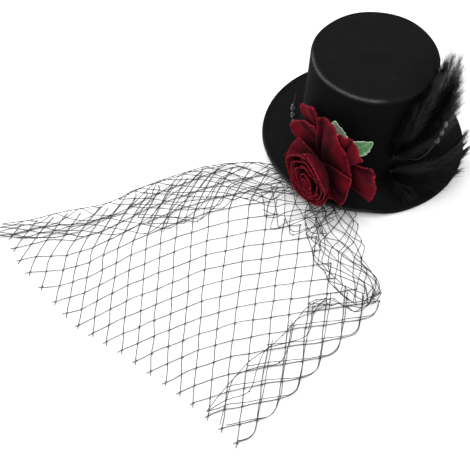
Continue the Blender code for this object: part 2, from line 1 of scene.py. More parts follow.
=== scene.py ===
"""Clip-on mini top hat: moulded felt, gathered net veil, velvet rose, leaves, bead sprays and feathers."""

import logging
import math
from dataclasses import dataclass, field
from enum import Enum

import bmesh
import bpy
import numpy as np
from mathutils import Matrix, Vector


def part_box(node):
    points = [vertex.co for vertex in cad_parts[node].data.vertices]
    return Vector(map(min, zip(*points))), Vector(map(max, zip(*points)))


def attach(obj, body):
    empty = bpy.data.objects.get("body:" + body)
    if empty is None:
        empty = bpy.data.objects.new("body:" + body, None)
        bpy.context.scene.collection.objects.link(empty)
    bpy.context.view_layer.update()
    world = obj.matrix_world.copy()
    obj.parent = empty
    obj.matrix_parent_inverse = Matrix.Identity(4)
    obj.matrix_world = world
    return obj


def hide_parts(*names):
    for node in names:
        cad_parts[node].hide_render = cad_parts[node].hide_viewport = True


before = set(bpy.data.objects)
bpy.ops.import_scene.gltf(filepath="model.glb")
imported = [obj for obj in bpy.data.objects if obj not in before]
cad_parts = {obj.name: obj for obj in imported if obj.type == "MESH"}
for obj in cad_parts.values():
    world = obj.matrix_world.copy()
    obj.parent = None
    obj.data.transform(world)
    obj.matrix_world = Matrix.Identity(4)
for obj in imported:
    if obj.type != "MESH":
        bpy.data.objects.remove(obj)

Array = np.ndarray
Numbers = np.ndarray | float
Tree = bpy.types.NodeTree
Socket = bpy.types.NodeSocket
ShaderNode = bpy.types.Node
Piece = bpy.types.Object

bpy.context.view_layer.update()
LOG = logging.getLogger("fascinator")
BODY = "root"
HAT_LOW, HAT_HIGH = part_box("felt_hat")
HAT_AXIS = np.array([(HAT_LOW[0] + HAT_HIGH[0]) / 2.0, (HAT_LOW[1] + HAT_HIGH[1]) / 2.0, 0.0])


# Small tools


def smooth_step(share: Numbers) -> Array:
    """Rises from 0 to 1 with level ends: 3 s squared less 2 s cubed."""
    share = np.clip(share, 0.0, 1.0)
    return share * share * (3.0 - 2.0 * share)


def unit(vectors: Array) -> Array:
    """Vectors divided by their lengths."""
    return vectors / np.maximum(np.linalg.norm(vectors, axis=-1, keepdims=True), 1e-12)


def polar(radius: Numbers, azimuth: Numbers, height: Numbers) -> Array:
    """Points from a radius, an azimuth in degrees and a height about the hat's axis."""
    turn = np.radians(azimuth)
    return np.stack(np.broadcast_arrays(radius * np.cos(turn), radius * np.sin(turn), height), -1)


def linear_colour(code: str) -> tuple[float, float, float, float]:
    """Turns an sRGB hex colour such as "7a1020" into linear red, green, blue and full alpha.

    Args:
        code: The six digits.

    Returns:
        Four linear values.
    """
    parts = [int(code[k:k + 2], 16) / 255.0 for k in (0, 2, 4)]
    turned = [c / 12.92 if c <= 0.04045 else ((c + 0.055) / 1.055) ** 2.4 for c in parts]
    return (turned[0], turned[1], turned[2], 1.0)


def grid_quads(rows: int, columns: int, wrap: bool = False) -> Array:
    """Quads between the points of a grid.

    Args:
        rows: Points along the first way.
        columns: Points along the second way.
        wrap: True where the second way runs round to its start.

    Returns:
        One row of four indices for each quad.
    """
    row, column = np.meshgrid(np.arange(rows - 1), np.arange(columns if wrap else columns - 1), indexing="ij")
    beside = (column + 1) % columns
    near, far = row * columns, (row + 1) * columns
    corners = [near + column, near + beside, far + beside, far + column]
    return np.stack([c.ravel() for c in corners], -1)


@dataclass
class MeshParts:
    """Points, faces and point values that several surfaces add to before they become one mesh."""

    points: list[Array] = field(default_factory=list)
    faces: list[Array] = field(default_factory=list)
    values: dict[str, list[Array]] = field(default_factory=dict)
    count: int = 0

    def add(self, points: Array, faces: Array, **values: Array) -> None:
        """Adds a surface.

        Args:
            points: Its points, in any array shape that ends in 3.
            faces: Its faces, counted from its own first point.
            values: Named arrays with one number for each point.
        """
        points = points.reshape(-1, 3)
        self.points.append(points)
        self.faces.append(faces + self.count)
        self.count += len(points)
        for name, numbers in values.items():
            self.values.setdefault(name, []).append(np.asarray(numbers, float).ravel())

    def grid(self, points: Array, wrap: bool = False, **values: Array) -> None:
        """Adds a grid of points as a sheet of quads, with values that fit its rows and columns."""
        spread = {name: np.broadcast_to(numbers, points.shape[:2]) for name, numbers in values.items()}
        self.add(points, grid_quads(*points.shape[:2], wrap), **spread)

    def tube(self, path: Array, radii: Numbers, sides: int, **values: Array) -> None:
        """Adds a round tube along a path, closed at both ends by rings drawn in to a point.

        Args:
            path: Points along it, in metres.
            radii: Its radius, one for all or one at each point.
            sides: Corners round it.
            values: Values for the surface's attributes, by name.
        """
        radii = np.broadcast_to(radii, len(path)).astype(float)
        path = np.concatenate([path[:1], path, path[-1:]])
        radii = np.concatenate([[1e-6], radii, [1e-6]])
        rings = tube_rings(path, radii, sides)
        spread = {name: np.concatenate([v[:1], v, v[-1:]])[:, None] if np.ndim(v) else v
                  for name, v in values.items()}
        self.grid(rings, wrap=True, **spread)

    def piece(self, name: str, finish: "Finish", smooth_angle: float = 60.0) -> Piece:
        """Makes the mesh and an object at the origin, dressed and riding on the body.

        Args:
            name: The piece's name.
            finish: The finish that it takes.
            smooth_angle: Edges that bend more than this many degrees stay sharp.

        Returns:
            The new object.
        """
        mesh = bpy.data.meshes.new(name)
        points = np.concatenate(self.points) + HAT_AXIS
        mesh.from_pydata(points, [], np.concatenate(self.faces))
        for label, blocks in self.values.items():
            layer = mesh.attributes.new(label, "FLOAT", "POINT")
            layer.data.foreach_set("value", np.concatenate(blocks).astype(np.float32))
        mesh.shade_smooth()
        mesh.set_sharp_from_angle(angle=math.radians(smooth_angle))
        mesh.materials.append(finish.material())
        piece = bpy.data.objects.new(name, mesh)
        bpy.context.scene.collection.objects.link(piece)
        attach(piece, BODY)
        LOG.info("%s: %d points", name, len(points))
        return piece


def tube_rings(path: Array, radii: Array, sides: int) -> Array:
    """Rings of points round a path: centre + radius times (side cos t + other sin t), square to the path.

    Args:
        path: Points along it, in metres.
        radii: The radius at each point.
        sides: Corners round it.

    Returns:
        The rings, one for each point of the path.
    """
    tangent = unit(np.gradient(path, axis=0) + 1e-12)
    side = unit(np.cross(tangent, [0.13, 0.21, 1.0]))
    other = np.cross(tangent, side)
    turn = np.arange(sides) * 2.0 * math.pi / sides
    spoke = side[:, None] * np.cos(turn)[None, :, None] + other[:, None] * np.sin(turn)[None, :, None]
    return path[:, None] + spoke * radii[:, None, None]


def smooth_path(points: Array, steps: int) -> Array:
    """A path through all the points, each stretch a Catmull-Rom cubic cut into equal steps of its share.

    Args:
        points: The points that it passes, in metres.
        steps: Steps in each stretch.

    Returns:
        The path's points.
    """
    padded = np.concatenate([2 * points[:1] - points[1:2], points, 2 * points[-1:] - points[-2:-1]])
    a, b, c, d = padded[:-3, None], padded[1:-2, None], padded[2:-1, None], padded[3:, None]
    t = (np.arange(steps) / steps)[None, :, None]
    square, cube = 2 * a - 5 * b + 4 * c - d, 3 * b - a - 3 * c + d
    curve = 0.5 * (2 * b + (c - a) * t + square * t ** 2 + cube * t ** 3)
    return np.concatenate([curve.reshape(-1, 3), points[-1:]])


def wall(piece: Piece, thickness: float, levels: int) -> None:
    """Gives a sheet its thickness, half to each side, and rounds it by subdivision.

    Args:
        piece: The piece.
        thickness: Its full thickness, in metres.
        levels: Times that it is subdivided.
    """
    shell = piece.modifiers.new("wall", "SOLIDIFY")
    shell.thickness = thickness
    shell.offset = 0.0
    shell.use_even_offset = False
    if levels:
        rounding = piece.modifiers.new("rounding", "SUBSURF")
        rounding.levels = levels
        rounding.render_levels = levels


# Finishes


def add_node(tree: Tree, kind: str, links: dict | None = None, **settings: object) -> ShaderNode:
    """Adds a shader node.

    Args:
        tree: The node tree.
        kind: The node's type name.
        links: Input name or number to the output socket that feeds it, or to a plain value.
        settings: Properties of the node.

    Returns:
        The new node.
    """
    node = tree.nodes.new(kind)
    for name, value in settings.items():
        setattr(node, name, value)
    for key, source in (links or {}).items():
        if isinstance(source, Socket):
            tree.links.new(source, node.inputs[key])
        else:
            node.inputs[key].default_value = source
    return node


def blend_colours(tree: Tree, share: Socket, low: object, high: object) -> Socket:
    """The colour that runs from low to high as the share runs from 0 to 1."""
    links = {"Factor": share, "A": low, "B": high}
    return add_node(tree, "ShaderNodeMix", links, data_type="RGBA").outputs[2]


def ramp(tree: Tree, value: Socket, low: float, high: float,
         start: float = 0.0, end: float = 1.0) -> Socket:
    """A value taken from the range low to high into the range start to end, and held there."""
    links = {"Value": value, "From Min": low, "From Max": high, "To Min": start, "To Max": end}
    return add_node(tree, "ShaderNodeMapRange", links, clamp=True).outputs[0]


def noise(tree: Tree, size: float, detail: float = 3.0, stretch: tuple = (1.0, 1.0, 1.0)) -> Socket:
    """Cloudy noise on Object coordinates whose patches are about size metres across.

    Args:
        tree: The material's node tree.
        size: The patches' size, in metres.
        detail: Finer layers of noise.
        stretch: Scale along each axis.

    Returns:
        The noise's value.
    """
    place = add_node(tree, "ShaderNodeTexCoord").outputs["Object"]
    turned = add_node(tree, "ShaderNodeMapping", {"Vector": place, "Scale": stretch}).outputs[0]
    links = {"Vector": turned, "Scale": 1.0 / size, "Detail": detail}
    return add_node(tree, "ShaderNodeTexNoise", links).outputs[0]


def multiply(tree: Tree, first: Socket, second: Socket) -> Socket:
    """The product of two values."""
    return add_node(tree, "ShaderNodeMath", {0: first, 1: second}, operation="MULTIPLY").outputs[0]


def attribute(tree: Tree, name: str) -> Socket:
    """A point value that the mesh carries."""
    return add_node(tree, "ShaderNodeAttribute", attribute_name=name).outputs["Fac"]


def bump(tree: Tree, height: Socket, depth: float) -> Socket:
    """A bump of that depth in metres."""
    return add_node(tree, "ShaderNodeBump", {"Height": height, "Distance": depth}).outputs[0]


@dataclass(frozen=True)
class Finish:
    """What every finish has: the record's slot, and a material made once."""

    slot: str = ""

    def dress(self, tree: Tree, shader: ShaderNode) -> None:
        """Adds this finish's nodes to a new material."""

    def surface(self, tree: Tree, shader: ShaderNode, roughness: float | Socket, specular: float,
                colour: Socket, relief: Socket | None = None) -> None:
        """Feeds the shader its colour, roughness, specular level and relief.

        Args:
            tree: The material's node tree.
            shader: Its shader.
            roughness: Its roughness, a number or a socket.
            specular: Its specular level.
            colour: Its colour, as linear values or a socket.
            relief: The relief's normals, if it has any.
        """
        tree.links.new(colour, shader.inputs["Base Color"])
        if isinstance(roughness, Socket):
            tree.links.new(roughness, shader.inputs["Roughness"])
        else:
            shader.inputs["Roughness"].default_value = roughness
        shader.inputs["Specular IOR Level"].default_value = specular
        if relief is not None:
            tree.links.new(relief, shader.inputs["Normal"])

    def material(self) -> bpy.types.Material:
        """The material, made the first time it is asked for.

        Returns:
            The material.
        """
        name = type(self).__name__
        found = bpy.data.materials.get(name)
        if found is None:
            found = bpy.data.materials.new(name)
            found.use_nodes = True
            self.dress(found.node_tree, found.node_tree.nodes["Principled BSDF"])
        return found


@dataclass(frozen=True)
class WoolFelt(Finish):
    """Black wool felt, steam-blocked over a form: a dense matt nap, with painted shade on the wall and
    underside and a painted highlight along the edges.
    """

    slot: str = "felt_black"
    ground: str = "101010"
    # The deep colour is painted shade for the upright wall, the brim's underside and the inside.
    deep: str = "090909"
    # Grey of the painted highlight along the top edge and the brim's rim.
    painted_highlight_grey: str = "5a5a5a"
    fibre: float = 0.0007
    patch: float = 0.012
    relief: float = 0.00016
    roughness: float = 0.92
    specular: float = 0.05
    sheen: float = 0.005

    def dress(self, tree: Tree, shader: ShaderNode) -> None:
        """Fibres mottle the tone, painted shade darkens the upright wall, the brim's underside and the
        inside, and a painted highlight lightens the top edge and the brim's rim.

        Args:
            tree: The material's node tree.
            shader: Its shader.
        """
        fibres = noise(tree, self.fibre, 4.0)
        patches = noise(tree, self.patch, 3.0)
        # Painted shade: the felt is darker where it faces away from the light, on the wall, the underside and
        # the inside.
        nap = attribute(tree, "nap")
        tone = blend_colours(tree, nap, linear_colour(self.deep), linear_colour(self.ground))
        mottle = ramp(tree, fibres, 0.35, 0.65, 0.80, 1.25)
        cloud = ramp(tree, patches, 0.3, 0.7, 0.88, 1.12)
        both = multiply(tree, mottle, cloud)
        shades = {0: tone, "Scale": both}
        shaded = add_node(tree, "ShaderNodeVectorMath", shades, operation="SCALE").outputs[0]
        # Painted highlight along the top edge and the brim's rim, broken up by the fibres.
        broken = ramp(tree, fibres, 0.40, 0.62, 0.35, 1.0)
        edge = multiply(tree, attribute(tree, "edge"), broken)
        colour = blend_colours(tree, edge, shaded, linear_colour(self.painted_highlight_grey))
        relief = bump(tree, fibres, self.relief)
        self.surface(tree, shader, self.roughness, self.specular, colour, relief)
        shader.inputs["Sheen Weight"].default_value = self.sheen


@dataclass(frozen=True)
class NylonThread(Finish):
    """Black nylon veil thread, knotted by machine: thin, matt and slightly glossy where it turns."""

    slot: str = "net_black"
    dark: str = "1b1b1d"
    light: str = "3c3c3f"
    patch: float = 0.006
    twist: float = 0.0004
    relief: float = 0.00005
    roughness: float = 0.55
    specular: float = 0.35

    def dress(self, tree: Tree, shader: ShaderNode) -> None:
        """The dye is a little uneven along the thread.

        Args:
            tree: The material's node tree.
            shader: Its shader.
        """
        patch = ramp(tree, noise(tree, self.patch, 2.0), 0.35, 0.65)
        colour = blend_colours(tree, patch, linear_colour(self.dark), linear_colour(self.light))
        relief = bump(tree, noise(tree, self.twist, 1.0), self.relief)
        self.surface(tree, shader, self.roughness, self.specular, colour, relief)


@dataclass(frozen=True)
class CrushedVelvet(Finish):
    """Crimson polyester velvet, cut and glued into petals: a dark pile, with painted shade in its folds and a
    painted highlight along its rims.
    """

    slot: str = "velvet_red"
    deep: str = "3a0310"
    pile: str = "600514"
    # Painted highlight colour along the petals' rims.
    rim: str = "902432"
    # Painted shade colour for the folds and towards the heart.
    painted_fold_shade: str = "190206"
    sheen: str = "d8485a"
    patch: float = 0.008
    tuft: float = 0.0009
    nap: float = 0.0008
    relief: float = 0.00025
    roughness: float = 0.85
    specular: float = 0.08
    sheen_weight: float = 0.10
    sheen_roughness: float = 0.35

    def dress(self, tree: Tree, shader: ShaderNode) -> None:
        """The pile is brushed in patches, with painted shade towards the heart and in the folds and a painted
        highlight along the rim.

        Args:
            tree: The material's node tree.
            shader: Its shader.
        """
        brushed = ramp(tree, noise(tree, self.patch, 2.0), 0.36, 0.64)
        pile = blend_colours(tree, brushed, linear_colour(self.deep), linear_colour(self.pile))
        # Painted shade towards the heart and in each petal's deepest fold.
        depth = blend_colours(tree, attribute(tree, "open"), linear_colour(self.painted_fold_shade), pile)
        # Painted highlight along the rims, broken into specks.
        speckle = ramp(tree, noise(tree, self.tuft, 2.0), 0.42, 0.62)
        share = multiply(tree, attribute(tree, "rim"), speckle)
        colour = blend_colours(tree, share, depth, linear_colour(self.rim))
        relief = bump(tree, noise(tree, self.nap, 3.0), self.relief)
        self.surface(tree, shader, self.roughness, self.specular, colour, relief)
        shader.inputs["Sheen Weight"].default_value = self.sheen_weight
        shader.inputs["Sheen Roughness"].default_value = self.sheen_roughness
        shader.inputs["Sheen Tint"].default_value = linear_colour(self.sheen)


@dataclass(frozen=True)
class PrintedLeafCloth(Finish):
    """Stiffened polyester cloth printed green, heat-cut to a leaf: whitish along its edge and midrib."""

    slot: str = "leaf_green"
    dark: str = "2f8438"
    light: str = "62ae60"
    pale: str = "cfe6cb"
    patch: float = 0.004
    weave: float = 0.0006
    relief: float = 0.00012
    roughness: float = 0.7
    specular: float = 0.3

    def dress(self, tree: Tree, shader: ShaderNode) -> None:
        """The print fades from green to nearly white towards the edge.

        Args:
            tree: The material's node tree.
            shader: Its shader.
        """
        cloud = ramp(tree, noise(tree, self.patch, 3.0), 0.35, 0.65)
        green = blend_colours(tree, cloud, linear_colour(self.dark), linear_colour(self.light))
        colour = blend_colours(tree, attribute(tree, "rim"), green, linear_colour(self.pale))
        relief = bump(tree, noise(tree, self.weave, 1.0), self.relief)
        self.surface(tree, shader, self.roughness, self.specular, colour, relief)


@dataclass(frozen=True)
class FloralTape(Finish):
    """Dark floral tape, a waxed crepe paper wound round the rose's wire."""

    slot: str = "calyx_green"
    dark: str = "160509"
    light: str = "2a0a10"
    crepe: float = 0.0010
    relief: float = 0.0002
    roughness: float = 0.85
    specular: float = 0.1

    def dress(self, tree: Tree, shader: ShaderNode) -> None:
        """Fine crepe creases cross the tape.

        Args:
            tree: The material's node tree.
            shader: Its shader.
        """
        crepe = noise(tree, self.crepe, 2.0, (1.0, 1.0, 4.0))
        share = ramp(tree, crepe, 0.4, 0.6)
        colour = blend_colours(tree, share, linear_colour(self.dark), linear_colour(self.light))
        relief = bump(tree, crepe, self.relief)
        self.surface(tree, shader, self.roughness, self.specular, colour, relief)


@dataclass(frozen=True)
class JetBead(Finish):
    """Faceted black glass bead, fire-polished: dark, with a violet cast and hard bright glints."""

    slot: str = "bead_black"
    dark: str = "0c0b0e"
    light: str = "322e39"
    wire: str = "060607"
    patch: float = 0.0016
    wire_roughness: float = 0.70
    glass_roughness: float = 0.10
    specular: float = 0.4

    def dress(self, tree: Tree, shader: ShaderNode) -> None:
        """The tone runs from black to a violet grey between facets.

        Args:
            tree: The material's node tree.
            shader: Its shader.
        """
        share = ramp(tree, noise(tree, self.patch, 1.0), 0.4, 0.6)
        glass = blend_colours(tree, share, linear_colour(self.dark), linear_colour(self.light))
        colour = blend_colours(tree, attribute(tree, "glass"), linear_colour(self.wire), glass)
        polish = ramp(tree, attribute(tree, "glass"), 0.0, 1.0, self.wire_roughness, self.glass_roughness)
        self.surface(tree, shader, polish, self.specular, colour)


@dataclass(frozen=True)
class DyedFeather(Finish):
    """Black-dyed cock hackle: soft barbs, some catching the light as grey glints."""

    slot: str = "feather_black"
    dark: str = "060607"
    # Grey of the painted glints that some barbs take.
    glint: str = "303034"
    grain: float = 0.0005
    relief: float = 0.00006
    roughness: float = 0.42
    specular: float = 0.10

    def dress(self, tree: Tree, shader: ShaderNode) -> None:
        """Each barb carries its own share of painted glint, fading to painted shade at the root.

        Args:
            tree: The material's node tree.
            shader: Its shader.
        """
        tone = attribute(tree, "tone")
        colour = blend_colours(tree, tone, linear_colour(self.dark), linear_colour(self.glint))
        relief = bump(tree, noise(tree, self.grain, 1.0), self.relief)
        self.surface(tree, shader, self.roughness, self.specular, colour, relief)


@dataclass(frozen=True)
class SpringSteel(Finish):
    """Nickel-plated spring steel strip, rolled and tumbled: satin, with fine lines along its length."""

    slot: str = "clip_steel"
    dark: str = "a9a9ad"
    light: str = "c8c8cc"
    line: float = 0.0004
    smoothest: float = 0.25
    roughest: float = 0.42
    specular: float = 0.5

    def dress(self, tree: Tree, shader: ShaderNode) -> None:
        """Fine lines run along the strip.

        Args:
            tree: The material's node tree.
            shader: Its shader.
        """
        lines = noise(tree, self.line, 2.0, (0.05, 1.0, 1.0))
        share = ramp(tree, lines, 0.4, 0.6)
        colour = blend_colours(tree, share, linear_colour(self.dark), linear_colour(self.light))
        brushed = ramp(tree, lines, 0.3, 0.7, self.smoothest, self.roughest)
        self.surface(tree, shader, brushed, self.specular, colour)
        shader.inputs["Metallic"].default_value = 1.0


# Felt hat


@dataclass
class FeltHat:
    """Crown and brim moulded from one felt, with a crisp top edge and a band that it stands on."""

    brim_radius: float = 0.0650
    brim_thickness: float = 0.0022
    rest_width: float = 0.0040
    brim_rise: float = 0.0055
    crown_base: float = 0.0410
    crown_top: float = 0.0380
    crown_height: float = 0.0720
    crown_wall: float = 0.0018
    edge_radius: float = 0.0024
    top_rise: float = 0.0008
    fillet: float = 0.0035
    lift: float = 0.0028
    lift_middle: float = 243.0
    lift_half: float = 34.0
    lift_shoulder: float = 20.0
    tuck: float = 0.0110
    # Where the painted highlight is strongest: its middle and half width, in degrees of azimuth.
    highlight_middle: float = 236.0
    highlight_half: float = 40.0
    dent: float = 0.00022
    sway: float = 0.00018
    sides: int = 288
    finish: Finish = WoolFelt()

    def crown_radius(self, height: Numbers) -> Array:
        """The crown's outer radius at a height: a straight taper."""
        return self.crown_base + (self.crown_top - self.crown_base) * height / self.crown_height

    def brim_under(self, radius: Numbers) -> Array:
        """The brim's underside before any lift: flat under the rim, then a straight rise to the crown."""
        flat_from = self.brim_radius - self.rest_width
        return self.brim_rise * np.clip((flat_from - radius) / (flat_from - self.crown_base), 0.0, 1.0)

    def rim_lift(self, radius: Array, azimuth: Array) -> Array:
        """How far the brim is lifted over the net: all at the rim of the net's sector, none at the crown.

        Args:
            radius: Distance from the hat's axis, in metres.
            azimuth: Turn about the axis, in degrees.

        Returns:
            The lift, in metres.
        """
        away = np.abs((azimuth - self.lift_middle + 180.0) % 360.0 - 180.0)
        sector = smooth_step(1.0 - (away - self.lift_half) / self.lift_shoulder)
        reach = self.brim_radius - self.tuck - self.crown_base
        return self.lift * sector * smooth_step((radius - self.crown_base) / reach)

    def brim_top(self, points: Array) -> Array:
        """Height of the brim's upper face under these points.

        Args:
            points: Points over or under the brim, in metres.

        Returns:
            Heights, in metres.
        """
        radius = np.hypot(points[..., 0], points[..., 1])
        azimuth = np.degrees(np.arctan2(points[..., 1], points[..., 0])) % 360.0
        return self.brim_under(radius) + self.brim_thickness + self.rim_lift(radius, azimuth)

    def arc(self, radius: float, height: float, size: float, start: float, end: float, steps: int) -> Array:
        """Profile points round a corner from its centre, its radius and its angles in degrees."""
        turn = np.radians(np.linspace(start, end, steps))
        return np.stack([radius + size * np.cos(turn), height + size * np.sin(turn)], -1)

    def profile(self) -> tuple[Array, Array, Array]:
        """The felt's section from the top's middle, out over the brim and back inside.

        Returns:
            Radius and height rows, then the painted shade's tone and the painted highlight's share for each
            row.
        """
        edge, shoulder = self.edge_radius, self.crown_height - self.edge_radius
        flat_from = self.brim_radius - self.rest_width
        half = self.brim_thickness / 2.0
        foot = self.brim_rise + self.brim_thickness + self.fillet
        corner = float(self.crown_radius(foot)) + self.fillet
        out = np.linspace(0.0002, self.crown_top - edge, 40)
        # Each block's second number is its painted shade tone: 1 on the lit top, 0 on the upright wall.
        blocks = [
            (np.stack([out, self.crown_height + self.top_rise * (1.0 - (out / out[-1]) ** 2)], -1), 1.0),
            (self.arc(self.crown_top - edge, shoulder, edge, 88.0, 2.0, 14), 0.9),
        ]
        climb = np.linspace(shoulder - 0.0006, foot, 46)
        blocks.append((np.stack([self.crown_radius(climb), climb], -1), 0.0))
        blocks.append((self.arc(corner, foot, self.fillet, 182.0, 262.0, 10), 0.15))
        reach = np.linspace(corner + 0.0008, self.brim_radius - half, 30)
        blocks.append((np.stack([reach, self.brim_under(reach) + self.brim_thickness], -1), 0.72))
        blocks.append((self.arc(self.brim_radius - half, half, half, 80.0, -80.0, 9), 0.8))
        back = np.linspace(self.brim_radius - half, self.crown_base + half, 24)
        blocks.append((np.stack([back, self.brim_under(back)], -1), 0.5))
        inner_base, inner_top = self.crown_base - self.crown_wall, self.crown_top - self.crown_wall
        rise = np.linspace(self.brim_rise + half, shoulder - self.crown_wall, 30)
        taper = inner_base + (inner_top - inner_base) * (rise - rise[0]) / (rise[-1] - rise[0])
        blocks.append((np.stack([taper, rise], -1), 0.2))
        inside = np.linspace(inner_top - edge / 2.0, 0.0002, 20)
        ceiling = np.full_like(inside, self.crown_height - self.crown_wall)
        blocks.append((np.stack([inside, ceiling], -1), 0.2))
        rows = np.concatenate([rows for rows, _ in blocks])
        nap = np.concatenate([np.full(len(rows), tone) for rows, tone in blocks])
        # Painted highlight: a thin band round the top edge and a fainter one round the brim's rim.
        edge_highlight = np.exp(-((rows[:, 0] - (self.crown_top - edge * 0.45)) / 0.0008) ** 2
                         - ((rows[:, 1] - (self.crown_height - edge * 0.35)) / 0.0008) ** 2)
        rim = np.exp(-((rows[:, 0] - self.brim_radius) / 0.0009) ** 2) * 0.35
        return rows, nap, np.maximum(edge_highlight, rim)

    def build(self) -> Piece:
        """Turns the section about the axis and bends it by the lift and by the felt's slight unevenness.

        Returns:
            The hat's piece.
        """
        rows, nap, edge_highlight = self.profile()
        azimuth = np.arange(self.sides) * 360.0 / self.sides
        turn = np.radians(azimuth)[None, :]
        radius, height = rows[:, 0][:, None], rows[:, 1][:, None]
        wall_share = smooth_step(height / self.crown_height) * smooth_step((radius - 0.02) / 0.015)
        ripple = np.sin(3.0 * turn + 60.0 * height) + 0.6 * np.sin(7.0 * turn - 90.0 * height)
        middle = smooth_step((self.crown_base - radius) / self.crown_base)
        lift = self.rim_lift(radius, azimuth[None, :])
        height = height + self.sway * np.sin(2.0 * turn + 0.7) * middle + lift
        points = polar(radius + self.dent * wall_share * ripple, azimuth[None, :], height)
        parts = MeshParts()
        # Painted highlight, strongest on the side where the light catches the edge.
        away = np.abs(azimuth - self.highlight_middle)[None, :]
        painted_highlight = edge_highlight[:, None] * (0.08 + 0.92 * smooth_step(1.0 - (away - self.highlight_half) / 14.0))
        parts.grid(points, wrap=True, nap=nap[:, None], edge=painted_highlight)
        ends = [np.arange(self.sides)[::-1], (len(rows) - 1) * self.sides + np.arange(self.sides)]
        piece = parts.piece("moulded_felt", self.finish, 50.0)
        close_ends(piece, ends)
        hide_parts("felt_hat")
        return piece


def close_ends(piece: Piece, rings: list[Array]) -> None:
    """Closes each ring of a piece with one face, and turns every face outwards.

    Args:
        piece: The piece.
        rings: The corners of each open ring, in order.
    """
    shape = bmesh.new()
    shape.from_mesh(piece.data)
    shape.verts.ensure_lookup_table()
    for ring in rings:
        face = shape.faces.new([shape.verts[int(k)] for k in ring])
        face.smooth = True
    bmesh.ops.recalc_face_normals(shape, faces=shape.faces)
    shape.to_mesh(piece.data)
    shape.free()


# Net veil


def drift(random: np.random.Generator, shape: tuple[int, int, int], size: float) -> Array:
    """Random shifts of about that size that change slowly from one knot of a grid to the next.

    Args:
        random: The source of random numbers.
        shape: Rows, columns and values of the shifts.
        size: The shifts' usual size, in metres.

    Returns:
        The shifts, in metres.
    """
    shifts = random.normal(0.0, 1.0, (shape[0] + 4, shape[1] + 4, shape[2]))
    for _ in range(2):
        shifts = (shifts[:-2] + 2.0 * shifts[1:-1] + shifts[2:]) / 4.0
        shifts = (shifts[:, :-2] + 2.0 * shifts[:, 1:-1] + shifts[:, 2:]) / 4.0
    return shifts * size / shifts.std()


def walk(corners: Array, shares: Array) -> Array:
    """Places at the given shares of the length of a line of corners."""
    steps = np.concatenate([[0.0], np.cumsum(np.linalg.norm(np.diff(corners, axis=0), axis=1))])
    return np.stack([np.interp(shares * steps[-1], steps, column) for column in corners.T], -1)


@dataclass(frozen=True)
class Fold:
    """A band of the net that is folded back or gathered, so that its cells are drawn out along it.

    The edges are floor places in metres from the hat's axis, both from the band's start to its end. Rows
    are the half cells along the band and columns those across it. Bunch draws the knots at the start
    towards the inner edge where it is under 1.
    """

    outer: tuple[tuple[float, float], ...]
    inner: tuple[tuple[float, float], ...]
    rows: int
    columns: int
    height: float
    wander: float = 0.0009
    bunch: float = 1.0
    corded: bool = False

    def nodes(self, random: np.random.Generator) -> Array:
        """Every knot's place: the two edges blended by the share across, with a little wandering.

        Args:
            random: The source of random numbers.

        Returns:
            The knots, by row and column.
        """
        along = np.linspace(0.0, 1.0, self.rows + 1)
        outer, inner = (walk(np.array(edge), along)[:, None] for edge in (self.outer, self.inner))
        power = self.bunch + (1.0 - self.bunch) * smooth_step(along * 1.6)[:, None, None]
        share = np.linspace(0.0, 1.0, self.columns + 1)[None, :, None] ** power
        flat = outer + (inner - outer) * share
        wander = drift(random, flat.shape, self.wander)
        wander[:, 0] *= 0.4
        swell = drift(random, (*flat.shape[:2], 1), 0.0008)
        return np.concatenate([flat + wander, self.height + swell], -1)

    def threads(self) -> list[Array]:
        """Row and column of the knots that each thread passes: it turns back at both edges.

        Returns:
            One array of rows and columns for each thread.
        """
        row = np.arange(self.rows + 1)
        paths = []
        for start in 2 * np.arange(self.columns):
            column = np.abs((row + start) % (2 * self.columns) - self.columns)
            paths.append(np.stack([row, column], -1))
        return paths + [np.stack([row, 0 * row], -1)] if self.corded else paths


LEFT_OUTLINE = (
    (-0.204, -0.117), (-0.181, -0.106), (-0.154, -0.093), (-0.140, -0.086), (-0.129, -0.075),
    (-0.116, -0.064), (-0.094, -0.050), (-0.082, -0.044), (-0.061, -0.039), (-0.046, -0.038),
)
LEFT_EDGE = (
    (-0.203, -0.125), (-0.184, -0.122), (-0.166, -0.118), (-0.148, -0.114), (-0.131, -0.110),
    (-0.108, -0.103), (-0.087, -0.089), (-0.069, -0.070), (-0.045, -0.065), (-0.030, -0.058),
)
SWAG_EDGE = (
    (-0.056, -0.070), (-0.051, -0.075), (-0.045, -0.081),
    (-0.038, -0.087), (-0.026, -0.087), (-0.013, -0.088),
)
UNDER_BRIM = ((-0.046, -0.040), (-0.030, -0.050), (-0.012, -0.056), (0.000, -0.058))
FAN_LEFT = (
    (-0.023, -0.056), (-0.026, -0.076), (-0.024, -0.087), (-0.019, -0.097), (-0.016, -0.103),
    (-0.008, -0.110), (-0.005, -0.118), (0.001, -0.123), (0.008, -0.128),
)
FAN_RIGHT = (
    (0.002, -0.056), (0.006, -0.073), (0.010, -0.082), (0.012, -0.091), (0.015, -0.099), (0.018, -0.104),
    (0.023, -0.109), (0.026, -0.116), (0.025, -0.124),
)
FLAP_EDGE = (
    (-0.055, -0.21), (-0.048, -0.195), (-0.04, -0.178), (-0.03, -0.166), (-0.022, -0.153),
    (-0.015, -0.137), (-0.004, -0.128),
)
FLAP_INNER = (
    (-0.047, -0.216), (-0.039, -0.202), (-0.031, -0.186), (-0.023, -0.173), (-0.014, -0.16),
    (-0.008, -0.145), (-0.001, -0.131),
)
CREASE = (
    (-0.014, -0.135), (-0.004, -0.128), (0.006, -0.131), (0.013, -0.131), (0.019, -0.124), (0.026, -0.117),
)
CREASE_BELOW = (
    (-0.012, -0.137), (-0.002, -0.133), (0.007, -0.133), (0.014, -0.136), (0.020, -0.130), (0.026, -0.120),
)


@dataclass(frozen=True)
class Column:
    """One thread that runs down the panel: its number, a knot's place and the way down to the cut edge."""

    number: int
    place: tuple[float, float]
    heading: float


